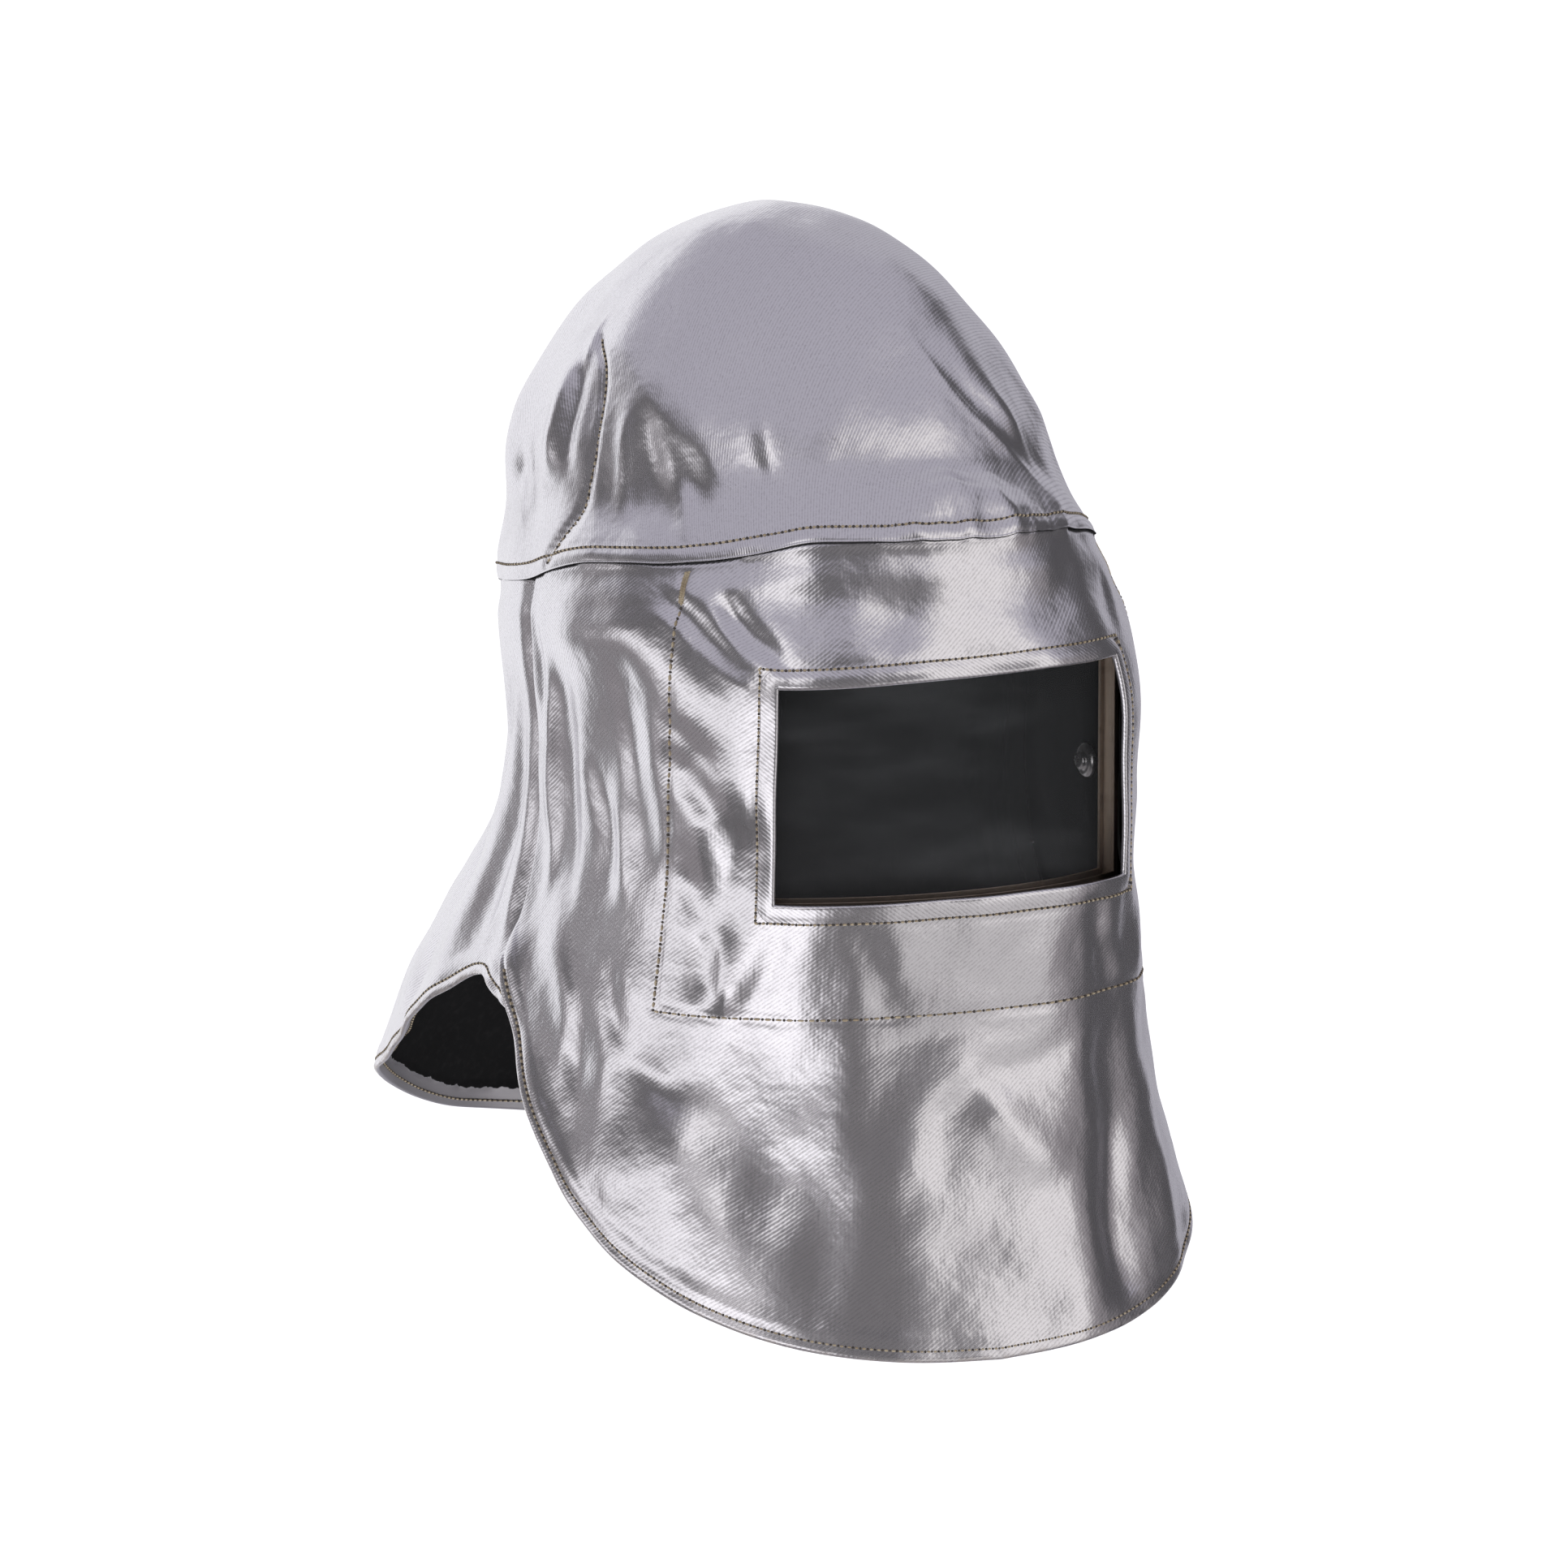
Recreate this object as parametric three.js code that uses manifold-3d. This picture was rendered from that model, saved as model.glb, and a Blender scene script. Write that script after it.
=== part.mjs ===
// Heat protective hood, as worn: aluminised cloth crown, face panel with a visor window and a
// rounded bib, back cape, and the visor with its frame and pocket inside.
// Millimetres, +Z up, the face looks along -Y, origin at the inside top of the crown.
import * as THREE from 'three';
import { mergeVertices } from 'three/addons/utils/BufferGeometryUtils.js';
import Module from 'manifold-3d';

const wasm = await Module();
wasm.setup();

const DEG = Math.PI / 180;
const CLOTH = 1.5;          // wall of the aluminised cloth
const LAP_GAP = 0.9;        // air between two cloth layers that lap
const LAP = 11;             // how far a lower panel runs up inside the crown
const HEM = 11;             // width of the turned hem
const HEM_CLOTH = 2.8;      // two layers of cloth at the turned hem
const ARC_RADIUS = 130;     // mean radius, for distances across the folds
const SKIN = 0.3;           // how far the panels below the crown lie inside the hood's outer face
const LAP_RUN = 14;         // over which a panel comes out from under the crown's lip

// Tables have one row of column names and one row per section, hem point or fold.
const table = (columns, rows) => {
  const names = columns.split(' ');
  return rows.map((row) => Object.fromEntries(names.map((name, i) => [name, row[i]])));
};

// Level sections of the worn hood; drop is measured down from the head seat.
const SECTIONS = table('drop half_width front back front_square back_square', [
  [107, 120, 138, 141, 2.1, 2.1],
  [147, 122.5, 146, 144, 2.4, 2.1],
  [182, 122, 160, 136, 3.0, 2.1],
  [227, 119, 166, 130, 3.1, 2.1],
  [272, 121, 166, 153, 2.9, 2.2],
  [327, 136, 163, 195, 2.5, 2.4],
  [377, 150, 168, 223, 2.3, 2.5],
  [427, 157, 178, 239, 2.4, 2.5],
  [477, 161, 190, 247, 2.4, 2.5],
]);

// Hem lines by angle from the face (0) to the nape (180).
const BIB_HEM = table('angle drop', [
  [0, 465], [15, 462], [30, 454], [45, 438], [60, 413], [75, 375], [84, 347], [94, 315],
]);
const CAPE_HEM = table('angle drop', [
  [86, 338], [95, 333], [104, 326], [116, 339], [132, 366], [148, 396], [164, 422], [180, 436],
]);

const CROWN = {
  seamDrop: 149, seamTilt: 24, seamWave: 1.6, topRise: CLOTH,
  domeArc: 74 * DEG, poleBack: 17, lean: 21,
  waist: 0.04, waistAt: 0.82, waistRun: 0.13,
};
const FACE_EDGE = 93 * DEG;
const CAPE_EDGE = 88.5 * DEG;
// The cape lies deeper where the face panel laps it; angles in degrees from the face.
const SIDE_LAP = { inset: HEM_CLOTH + LAP_GAP + 0.4, middle: 91, half: 3, until: 97, run: 12, slitDrop: 300 };

// Folds: a ridge (height above 0) or a dent along a line between two places on the hood.
// mirror is the share of the height that the fold has on the wearer's left side.
const FOLDS = table('angle0 drop0 angle1 drop1 height width mirror', [
  // crown: puckers about the sewn dart, the slanting dent under it and the fold beside it
  [-88, 50, -86, 118, 5, 9, 1],
  [-74, 58, -71, 112, -5, 8, 1],
  [-78, 62, -36, 121, -5, 10, 0.6],
  [-62, 48, -28, 104, 3, 12, 0.6],
  [-33, 62, -36, 118, -4, 6, 0.4],
  [-26, 60, -28, 118, 3.5, 7, 0.4],
  [18, 36, 31, 126, 3, 10, 0],
  [-104, 100, -96, 126, -4, 8, 0.8],
  [-112, 60, -112, 128, 3, 12, 0.8],
  [148, 70, 152, 134, -3, 14, 0.9],
  // face panel: the standing folds beside the visor
  [-88, 168, -86, 300, 5, 7, 0.8],
  [-80, 160, -80, 300, -6, 7, 0.8],
  [-72, 158, -73, 306, 5, 8, 0.8],
  [-65, 165, -66, 300, -5, 7, 0.8],
  [-56, 170, -58, 300, 4, 8, 0.8],
  [-40, 148, -29, 172, -4, 6, 0.5],
  [-47, 162, -36, 186, -3, 6, 0.5],
  [-46, 205, -37, 240, -4, 8, 0.6],
  [-47, 250, -37, 288, -4, 8, 0.6],
  [-31, 268, -37, 330, 5, 9, 0.3],
  // bib: broad waves and the deep fold on the wearer's left
  [-44, 330, -32, 420, -4, 20, 0],
  [-16, 325, -9, 500, 4, 22, 0],
  [29, 285, 23, 500, -7, 12, 0.3],
  [46, 318, 50, 420, -5, 15, 0],
  [50, 400, 52, 540, 5, 14, 0],
  [-70, 322, -60, 390, -5, 10, 0.6],
  [-92, 290, -90, 360, 7, 14, 0.7],
  // cape: folds that spread from the nape to the hem
  [-98, 170, -112, 338, -6, 10, 1],
  [-110, 200, -126, 400, 5, 12, 1],
  [-126, 215, -141, 440, -7, 13, 1],
  [-143, 210, -156, 470, 6, 14, 0.9],
  [-160, 215, -169, 470, -6, 14, 1],
  [180, 200, 180, 480, 6, 15, 0],
]);

// Share of a fold that is lost at a sewn lap, and the distance over which it comes back.
const FOLD_FADE = { seam: 0.9, seamRun: 16, side: 0.75, sideRun: 6, slitRun: 40, end: 0.3 };

const clamp01 = (t) => Math.min(1, Math.max(0, t));
const ease = (t) => clamp01(t) ** 2 * (3 - 2 * clamp01(t));

// A smooth curve through one column of a table.
function along(rows, key, value, x) {
  const last = rows.length - 1;
  const at = Math.min(Math.max(x, rows[0][key]), rows[last][key]);
  let i = 0;
  while (i < last - 1 && rows[i + 1][key] <= at) i += 1;
  const slope = (k) => {
    const lo = rows[Math.max(0, k - 1)];
    const hi = rows[Math.min(last, k + 1)];
    return (hi[value] - lo[value]) / (hi[key] - lo[key]);
  };
  const step = rows[i + 1][key] - rows[i][key];
  const u = (at - rows[i][key]) / step;
  return (2 * u ** 3 - 3 * u ** 2 + 1) * rows[i][value] + (u ** 3 - 2 * u ** 2 + u) * step * slope(i)
    + (3 * u ** 2 - 2 * u ** 3) * rows[i + 1][value] + (u ** 3 - u ** 2) * step * slope(i + 1);
}

// Angle folded to 0..180 degrees from the face.
const spread = (angle) => Math.abs(Math.atan2(Math.sin(angle), Math.cos(angle))) / DEG;
const bibHem = (angle) => along(BIB_HEM, 'angle', 'drop', spread(angle));
const capeHem = (angle) => along(CAPE_HEM, 'angle', 'drop', spread(angle));
const seamDrop = (angle) => CROWN.seamDrop - CROWN.seamTilt * Math.cos(angle)
  + CROWN.seamWave * Math.sin(7 * angle + 1);

// Radius of the level section at a drop, a superellipse with its own front and back.
function sectionRadius(angle, drop) {
  const front = Math.cos(angle) >= 0;
  const half = along(SECTIONS, 'drop', 'half_width', drop);
  const depth = along(SECTIONS, 'drop', front ? 'front' : 'back', drop);
  const power = along(SECTIONS, 'drop', front ? 'front_square' : 'back_square', drop);
  return (Math.abs(Math.sin(angle) / half) ** power
    + Math.abs(Math.cos(angle) / depth) ** power) ** (-1 / power);
}

// Share of the dome's arc at a drop above the seam, and the drop at a share.
const domeShare = (angle, drop) => Math.acos(1 - clamp01((drop + CROWN.topRise)
  / (seamDrop(angle) + CROWN.topRise)) * (1 - Math.cos(CROWN.domeArc))) / CROWN.domeArc;
const domeDrop = (angle, share) => (seamDrop(angle) + CROWN.topRise)
  * (1 - Math.cos(share * CROWN.domeArc)) / (1 - Math.cos(CROWN.domeArc)) - CROWN.topRise;

// Height of all the folds at a place; they die away where two layers lap.
function foldHeight(angle, drop, ring) {
  const degrees = Math.atan2(Math.sin(angle), Math.cos(angle)) / DEG;
  const mm = ARC_RADIUS * DEG * Math.max(ring, 0.3);
  let sum = 0;
  for (const fold of FOLDS) {
    for (const side of [1, -1]) {
      const height = side > 0 ? fold.height : fold.height * fold.mirror;
      if (height === 0) continue;
      const turn = ((degrees - side * fold.angle0 + 540) % 360 + 360) % 360 - 180;
      const across = (fold.angle1 - fold.angle0) * side * mm;
      const down = fold.drop1 - fold.drop0;
      const px = turn * mm;
      const py = drop - fold.drop0;
      const t = clamp01((px * across + py * down) / (across ** 2 + down ** 2));
      const away = Math.hypot(px - t * across, py - t * down) / fold.width;
      if (away > 3) continue;
      sum += height * Math.exp(-(away ** 2)) * ease(t / FOLD_FADE.end) * ease((1 - t) / FOLD_FADE.end);
    }
  }
  const fromSeam = drop - seamDrop(angle);
  const seam = 1 - FOLD_FADE.seam * (1 - ease((Math.abs(fromSeam) - LAP) / FOLD_FADE.seamRun));
  if (fromSeam < 0) return sum * seam;
  const fromLap = Math.abs(spread(angle) - SIDE_LAP.middle) - SIDE_LAP.half;
  const sewn = 1 - ease((drop - SIDE_LAP.slitDrop) / FOLD_FADE.slitRun);
  return sum * seam * (1 - FOLD_FADE.side * sewn * (1 - ease(fromLap / FOLD_FADE.sideRun)));
}

// Outer face of the hood. level runs 0 to 1 over the dome and goes on below it, 0.01 for each mm.
function plain(angle, level) {
  const seam = seamDrop(angle);
  if (level >= 1) {
    const drop = seam + (level - 1) * 100;
    const r = sectionRadius(angle, drop);
    return { point: new THREE.Vector3(r * Math.sin(angle), -r * Math.cos(angle), -drop), drop, ring: 1 };
  }
  const drop = domeDrop(angle, level);
  const fall = (drop + CROWN.topRise) / (seam + CROWN.topRise);
  const ring = Math.sin(level * CROWN.domeArc) / Math.sin(CROWN.domeArc)
    * (1 - CROWN.waist * Math.exp(-(((fall - CROWN.waistAt) / CROWN.waistRun) ** 2)));
  const r = sectionRadius(angle, seam) * ring;
  const back = CROWN.poleBack * (1 - ring) + CROWN.lean * 4 * fall * (1 - fall);
  return { point: new THREE.Vector3(r * Math.sin(angle), back - r * Math.cos(angle), -drop), drop, ring };
}

function normalOf(sample, angle, level) {
  const da = 0.01;
  const dl = level >= 1 ? 0.01 : 0.004;
  const across = sample(angle + da, level).sub(sample(angle - da, level));
  const down = sample(angle, level + dl).sub(sample(angle, Math.max(level - dl, 1e-4)));
  return down.cross(across).normalize();
}

const plainPoint = (angle, level) => plain(angle, level).point;
function foldedPoint(angle, level) {
  const { point, drop, ring } = plain(angle, level);
  return point.addScaledVector(normalOf(plainPoint, angle, level), foldHeight(angle, drop, ring));
}

// A point a given way inside the hood's outer face.
function hoodPoint(angle, level, inset) {
  if (level < 1e-3) return new THREE.Vector3(0, CROWN.poleBack, CROWN.topRise - inset);
  return foldedPoint(angle, level).addScaledVector(normalOf(foldedPoint, angle, level), -inset);
}
const levelOf = (angle, drop) => (drop < seamDrop(angle) ? domeShare(angle, drop)
  : 1 + (drop - seamDrop(angle)) / 100);

// Closed mesh from a list of points and quads given by their corner numbers.
function meshFrom(points, quads) {
  const index = [];
  for (const [a, b, c, d] of quads) {
    if (a !== b && b !== c && c !== a) index.push(a, b, c);
    if (a !== c && c !== d && d !== a) index.push(a, c, d);
  }
  const geometry = new THREE.BufferGeometry();
  geometry.setAttribute('position', new THREE.Float32BufferAttribute(points.flatMap((p) => [p.x, p.y, p.z]), 3));
  geometry.setIndex(index);
  return geometry;
}

// Sheet with thickness: an outer and an inner grid of points, joined at the edges.
// outer(i, j) and inner(i, j) give points; a closed sheet joins its last column to its first.
function sheet(columns, rows, outer, inner, closed = false) {
  const wide = closed ? columns : columns + 1;
  const points = [];
  for (const side of [outer, inner]) {
    for (let j = 0; j <= rows; j += 1) for (let i = 0; i < wide; i += 1) points.push(side(i, j));
  }
  const count = wide * (rows + 1);
  const at = (layer, i, j) => layer * count + j * wide + (closed ? i % columns : i);
  const quads = [];
  for (let j = 0; j < rows; j += 1) {
    for (let i = 0; i < columns; i += 1) {
      quads.push([at(0, i, j), at(0, i, j + 1), at(0, i + 1, j + 1), at(0, i + 1, j)]);
      quads.push([at(1, i, j), at(1, i + 1, j), at(1, i + 1, j + 1), at(1, i, j + 1)]);
    }
  }
  for (let i = 0; i < columns; i += 1) {
    quads.push([at(0, i, 0), at(0, i + 1, 0), at(1, i + 1, 0), at(1, i, 0)]);
    quads.push([at(0, i + 1, rows), at(0, i, rows), at(1, i, rows), at(1, i + 1, rows)]);
  }
  for (let j = 0; j < rows && !closed; j += 1) {
    quads.push([at(0, 0, j + 1), at(0, 0, j), at(1, 0, j), at(1, 0, j + 1)]);
    quads.push([at(0, columns, j), at(0, columns, j + 1), at(1, columns, j + 1), at(1, columns, j)]);
  }
  return meshFrom(points, quads);
}

const toSolid = (geometry) => {
  const flat = geometry.clone();
  for (const name of Object.keys(flat.attributes)) if (name !== 'position') flat.deleteAttribute(name);
  const tidy = mergeVertices(flat, 1e-4);
  return new wasm.Manifold(new wasm.Mesh({
    numProp: 3,
    vertProperties: new Float32Array(tidy.attributes.position.array),
    triVerts: new Uint32Array(tidy.index.array),
  }));
};
const toGeometry = (solid) => {
  const mesh = solid.getMesh();
  const geometry = new THREE.BufferGeometry();
  geometry.setAttribute('position', new THREE.BufferAttribute(new Float32Array(mesh.vertProperties), 3));
  geometry.setIndex(new THREE.BufferAttribute(new Uint32Array(mesh.triVerts), 1));
  return geometry;
};

// Crown: one dome of cloth whose lower lip laps over the panels below.
function crown() {
  const columns = 60;
  const rows = 12;
  const pole = [new THREE.Vector3(0, CROWN.poleBack, CROWN.topRise), new THREE.Vector3(0, CROWN.poleBack, 0)];
  const points = [...pole];
  for (const inset of [0, CLOTH]) {
    for (let j = 1; j <= rows; j += 1) {
      for (let i = 0; i < columns; i += 1) points.push(hoodPoint((i * 360 / columns) * DEG, j / rows, inset));
    }
  }
  const at = (layer, i, j) => (j === 0 ? layer : 2 + (layer * rows + j - 1) * columns + (i % columns));
  const quads = [];
  for (let i = 0; i < columns; i += 1) {
    for (let j = 0; j < rows; j += 1) {
      quads.push([at(0, i, j), at(0, i, j + 1), at(0, i + 1, j + 1), at(0, i + 1, j)]);
      quads.push([at(1, i, j), at(1, i + 1, j), at(1, i + 1, j + 1), at(1, i, j + 1)]);
    }
    quads.push([at(0, i + 1, rows), at(0, i, rows), at(1, i, rows), at(1, i + 1, rows)]);
  }
  return meshFrom(points, quads);
}

// Body panels sit inside the crown's lip and come out to the hood's face below it.
const faceInset = (angle, drop) => SKIN
  + (CLOTH + LAP_GAP - SKIN) * (1 - ease((drop - seamDrop(angle) - 3) / LAP_RUN));
const capeInset = (angle, drop) => faceInset(angle, drop)
  + SIDE_LAP.inset * (1 - ease((spread(angle) - SIDE_LAP.until) / SIDE_LAP.run));

// A body panel from inside the crown's lip to its turned hem, between two angles.
// crowd draws the columns together towards the two edges, where the folds are closer.
function panel(from, to, columns, rows, hem, insetAt, crowd) {
  const angleAt = (i) => {
    const t = 2 * i / columns - 1;
    return (from + to) / 2 + (to - from) / 2 * ((1 + crowd) * t - crowd * t ** 3);
  };
  const dropAt = (angle, j) => {
    const top = seamDrop(angle) - LAP;
    const end = hem(angle);
    if (j === rows) return end;
    return j === rows - 1 ? end - HEM : top + (end - HEM - 1 - top) * j / (rows - 2);
  };
  const layer = (extra) => (i, j) => {
    const angle = angleAt(i);
    const drop = dropAt(angle, j);
    const wall = j >= rows - 1 ? HEM_CLOTH : CLOTH;
    return hoodPoint(angle, levelOf(angle, drop), insetAt(angle, drop) + extra * wall);
  };
  return sheet(columns, rows, layer(0), layer(1));
}

// Visor window, corners from the wearer's right at the top; the cloth sags a little there.
const WINDOW = table('x drop', [[-81.5, 184], [79, 180], [81.5, 273], [-84, 273.5]]);

function facePanel() {
  const body = toSolid(panel(-FACE_EDGE, FACE_EDGE, 48, 20, bibHem, faceInset, 0.16));
  const outline = new THREE.Shape(WINDOW.map((corner) => new THREE.Vector2(corner.x, -corner.drop)));
  // The outline is drawn in x and z, then turned so that the prism runs along y.
  const cut = new THREE.ExtrudeGeometry(outline, { depth: 140, bevelEnabled: false });
  cut.rotateX(Math.PI / 2);
  cut.translate(0, -90, 0);
  return toGeometry(body.subtract(toSolid(cut)));
}

const backCape = () => panel(CAPE_EDGE, 2 * Math.PI - CAPE_EDGE, 34, 15, capeHem, capeInset, 0);

// Visor: a pane bent about an upright axis, in a channel frame that follows the same bend.
const VISOR = {
  radius: 160, front: -153, halfArc: 92, top: 176, bottom: 278,
  paneThick: 2, lipThick: 1.3, clearance: 0.4, wall: 1.4,
};
const FRAME_SECTION = table('inset depth', [
  [0, 0], [3.6, 0], [3.6, 1.3], [1.4, 1.3], [1.4, 6.3], [4.6, 6.3], [4.6, 7.5], [0, 7.5],
]);
const FRAME_FRONT = VISOR.radius + VISOR.clearance + VISOR.lipThick;

// A point on the bent visor: arc across, height, and depth behind the frame's front.
function visorPoint(arc, z, depth) {
  const turn = arc / VISOR.radius;
  const r = FRAME_FRONT - depth;
  return new THREE.Vector3(r * Math.sin(turn), VISOR.front + VISOR.radius - r * Math.cos(turn), z);
}

// Outline of the frame: places around it with the way out of the outline at each, mitred at the corners.
function frameLoop(across, down) {
  const half = (VISOR.bottom - VISOR.top) / 2;
  const middle = -(VISOR.bottom + VISOR.top) / 2;
  const { halfArc } = VISOR;
  const loop = [];
  const sides = table('arc z dirArc dirZ steps', [
    [halfArc, -half, 0, 1, down], [halfArc, half, -1, 0, across],
    [-halfArc, half, 0, -1, down], [-halfArc, -half, 1, 0, across],
  ]);
  sides.forEach((side, i) => {
    const before = sides[(i + 3) % 4];
    const length = side.dirArc === 0 ? 2 * half : 2 * halfArc;
    for (let k = 0; k < side.steps; k += 1) {
      const run = length * k / side.steps;
      const corner = k === 0 ? 1 : 0;
      loop.push({
        arc: side.arc + side.dirArc * run, z: middle + side.z + side.dirZ * run,
        outArc: side.dirZ + corner * before.dirZ, outZ: -side.dirArc - corner * before.dirArc,
      });
    }
  });
  return loop;
}

// Tube over a closed loop of places with a closed section of rows.
function sweep(loop, section, place) {
  const points = loop.flatMap((spot) => section.map((row) => place(spot, row)));
  const size = section.length;
  const at = (i, k) => (i % loop.length) * size + (k % size);
  const quads = [];
  for (let i = 0; i < loop.length; i += 1) {
    for (let k = 0; k < size; k += 1) quads.push([at(i, k), at(i + 1, k), at(i + 1, k + 1), at(i, k + 1)]);
  }
  return meshFrom(points, quads);
}

const visorFrame = () => sweep(frameLoop(12, 4), FRAME_SECTION, (spot, row) => visorPoint(
  spot.arc - spot.outArc * row.inset, spot.z - spot.outZ * row.inset, row.depth));

function visorPane() {
  const edge = VISOR.wall + VISOR.clearance;
  const columns = 18;
  const face = (depth) => (i, j) => visorPoint((2 * i / columns - 1) * (VISOR.halfArc - edge),
    j === 0 ? -VISOR.top - edge : -VISOR.bottom + edge, depth);
  const front = VISOR.lipThick + VISOR.clearance;
  return sheet(columns, 1, face(front), face(front + VISOR.paneThick));
}

// Pocket: a ring of lining sewn behind the face panel that closes round the visor frame.
const POCKET = { angle: 50 * DEG, top: 141, bottom: 323, thick: 1.2, gap: 0.7, sewnGap: 1.4, grip: 4.6, rows: 3, bow: 2 };

function visorPocket() {
  const loop = frameLoop(12, 6);
  const middle = -(VISOR.bottom + VISOR.top) / 2;
  const half = (VISOR.bottom - VISOR.top) / 2;
  const sewn = (spot, extra) => {
    const angle = POCKET.angle * spot.arc / VISOR.halfArc;
    const share = (middle - spot.z) / half;
    const drop = (POCKET.top + POCKET.bottom) / 2 + share * (POCKET.bottom - POCKET.top) / 2;
    return hoodPoint(angle, levelOf(angle, drop), faceInset(angle, drop) + CLOTH + POCKET.sewnGap + extra);
  };
  const held = (spot, extra) => visorPoint(spot.arc + spot.outArc * POCKET.gap,
    spot.z + spot.outZ * POCKET.gap, POCKET.grip + extra);
  const centre = new THREE.Vector3(0, 0, middle);
  const layer = (extra) => (i, j) => {
    const spot = loop[i % loop.length];
    const share = j / POCKET.rows;
    const point = sewn(spot, extra).lerp(held(spot, extra * 1.2), share);
    const inward = centre.clone().sub(point).setZ(0).normalize();
    return point.addScaledVector(inward, POCKET.bow * 4 * share * (1 - share));
  };
  return sheet(loop.length, POCKET.rows, layer(POCKET.thick), layer(0), true);
}

// Press stud on the inside of a side wall, a turned cap.
const STUD = { angle: 64 * DEG, drop: 239, gap: 0.4 };
const STUD_PROFILE = table('radius height', [
  [0, 0], [7.5, 0], [7.5, 1.8], [6.4, 2.8], [4, 3.1], [4, 4.6], [3.2, 5.2], [0, 5.2],
]);

function pressStud(side) {
  const angle = side * STUD.angle;
  const level = levelOf(angle, STUD.drop);
  const inset = faceInset(angle, STUD.drop) + CLOTH + STUD.gap;
  const foot = hoodPoint(angle, level, inset);
  const axis = hoodPoint(angle, level, inset + 5).sub(foot).normalize();
  const turn = new THREE.Quaternion().setFromUnitVectors(new THREE.Vector3(0, 0, 1), axis);
  const segments = 16;
  const last = STUD_PROFILE.length - 1;
  const points = [];
  STUD_PROFILE.forEach((row, k) => {
    const count = k === 0 || k === last ? 1 : segments;
    for (let i = 0; i < count; i += 1) {
      const a = 2 * Math.PI * i / segments;
      const p = new THREE.Vector3(row.radius * Math.cos(a), row.radius * Math.sin(a), row.height);
      points.push(p.applyQuaternion(turn).add(foot));
    }
  });
  const at = (i, k) => {
    if (k === 0) return 0;
    return k === last ? points.length - 1 : 1 + (k - 1) * segments + (i % segments);
  };
  const quads = [];
  for (let k = 0; k < last; k += 1) {
    for (let i = 0; i < segments; i += 1) quads.push([at(i, k), at(i + 1, k), at(i + 1, k + 1), at(i, k + 1)]);
  }
  return meshFrom(points, quads);
}

const FINISH = {
  silver: { color: 0xb7b5c0, metalness: 0.75, roughness: 0.38 },
  black: { color: 0x232326, metalness: 0, roughness: 0.9 },
  rim: { color: 0x6f655c, metalness: 0.85, roughness: 0.42 },
  clear: { color: 0xd5dde2, metalness: 0, roughness: 0.05, transparent: true, opacity: 0.22 },
  stud: { color: 0x8e9094, metalness: 0.9, roughness: 0.3 },
};

const hood = new THREE.Group();
hood.name = 'heat_protective_hood';
const add = (name, geometry, finish) => {
  const flat = geometry.index ? geometry : mergeVertices(geometry);
  flat.computeVertexNormals();
  const mesh = new THREE.Mesh(flat, new THREE.MeshStandardMaterial({ ...FINISH[finish], name: finish }));
  mesh.name = name;
  hood.add(mesh);
};

add('crown', crown(), 'silver');
add('face_panel', facePanel(), 'silver');
add('back_cape', backCape(), 'silver');
add('visor_pocket', visorPocket(), 'black');
add('visor_frame', visorFrame(), 'rim');
add('visor_pane', visorPane(), 'clear');
add('press_stud_left', pressStud(1), 'stud');
add('press_stud_right', pressStud(-1), 'stud');

export default hood;
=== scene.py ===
"""Heat protective hood: cloth panels with folds, seams, visor and a plain studio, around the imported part.

Sizes are in millimetres until a mesh is made; meshes are in metres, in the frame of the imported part:
+Z up, the face looks along -Y, origin at the inside top of the crown.
"""

import logging
import math
from dataclasses import dataclass, field, replace
from enum import Enum
from typing import Callable, Sequence

import bpy
import numpy as np
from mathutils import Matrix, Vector


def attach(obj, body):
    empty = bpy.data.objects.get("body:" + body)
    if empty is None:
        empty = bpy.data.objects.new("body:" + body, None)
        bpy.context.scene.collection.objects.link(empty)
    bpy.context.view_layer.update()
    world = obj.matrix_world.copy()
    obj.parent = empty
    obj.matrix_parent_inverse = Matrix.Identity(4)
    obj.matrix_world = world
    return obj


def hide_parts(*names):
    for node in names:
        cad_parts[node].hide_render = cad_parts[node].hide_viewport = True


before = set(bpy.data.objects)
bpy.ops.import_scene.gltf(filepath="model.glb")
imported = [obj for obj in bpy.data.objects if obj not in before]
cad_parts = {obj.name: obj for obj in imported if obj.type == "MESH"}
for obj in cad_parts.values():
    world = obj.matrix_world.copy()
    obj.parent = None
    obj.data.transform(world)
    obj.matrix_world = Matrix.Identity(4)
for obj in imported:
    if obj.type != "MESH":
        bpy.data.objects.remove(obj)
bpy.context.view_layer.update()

LOG = logging.getLogger("hood")
BODY = "root"
MM = 0.001
DEG = math.pi / 180
Array = np.ndarray
Colour = tuple[float, float, float, float]

# What the cloth's meshes store: a flat map, and distances in mm from the hem and from the window.
WEAVE = "weave"
HEM_AWAY = "hem_away"
WINDOW_AWAY = "window_away"
# A distance in mm that is beyond every edge.
FAR = 99.0

# Millimetres in one level below the dome.
LEVEL_MM = 100
# Steps either way from which a normal is worked out: an angle, and levels below and on the dome.
NORMAL_TURN = 0.008
NORMAL_BELOW = 0.008
NORMAL_DOME = 0.004
POLE_LEVEL = 1e-4

# How blunt and how steep a sharp crease is, and what brings the deepest place of a hinge to 1.
CREASE_BLUNT = 0.3
CREASE_STEEP = 2.2
HINGE_PEAK = 1.65

# Rows of points next to a rolled edge, in mm from it, and the share of the wall that is left at its rim.
EDGE_ROWS = np.array([0.12, 0.4, 0.85, 1.5, 2.6])
EDGE_LEAST = 0.1


def ease(t: Array) -> Array:
    """Smooth step from 0 to 1 over t from 0 to 1."""
    t = np.clip(t, 0.0, 1.0)
    return t * t * (3 - 2 * t)


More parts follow.
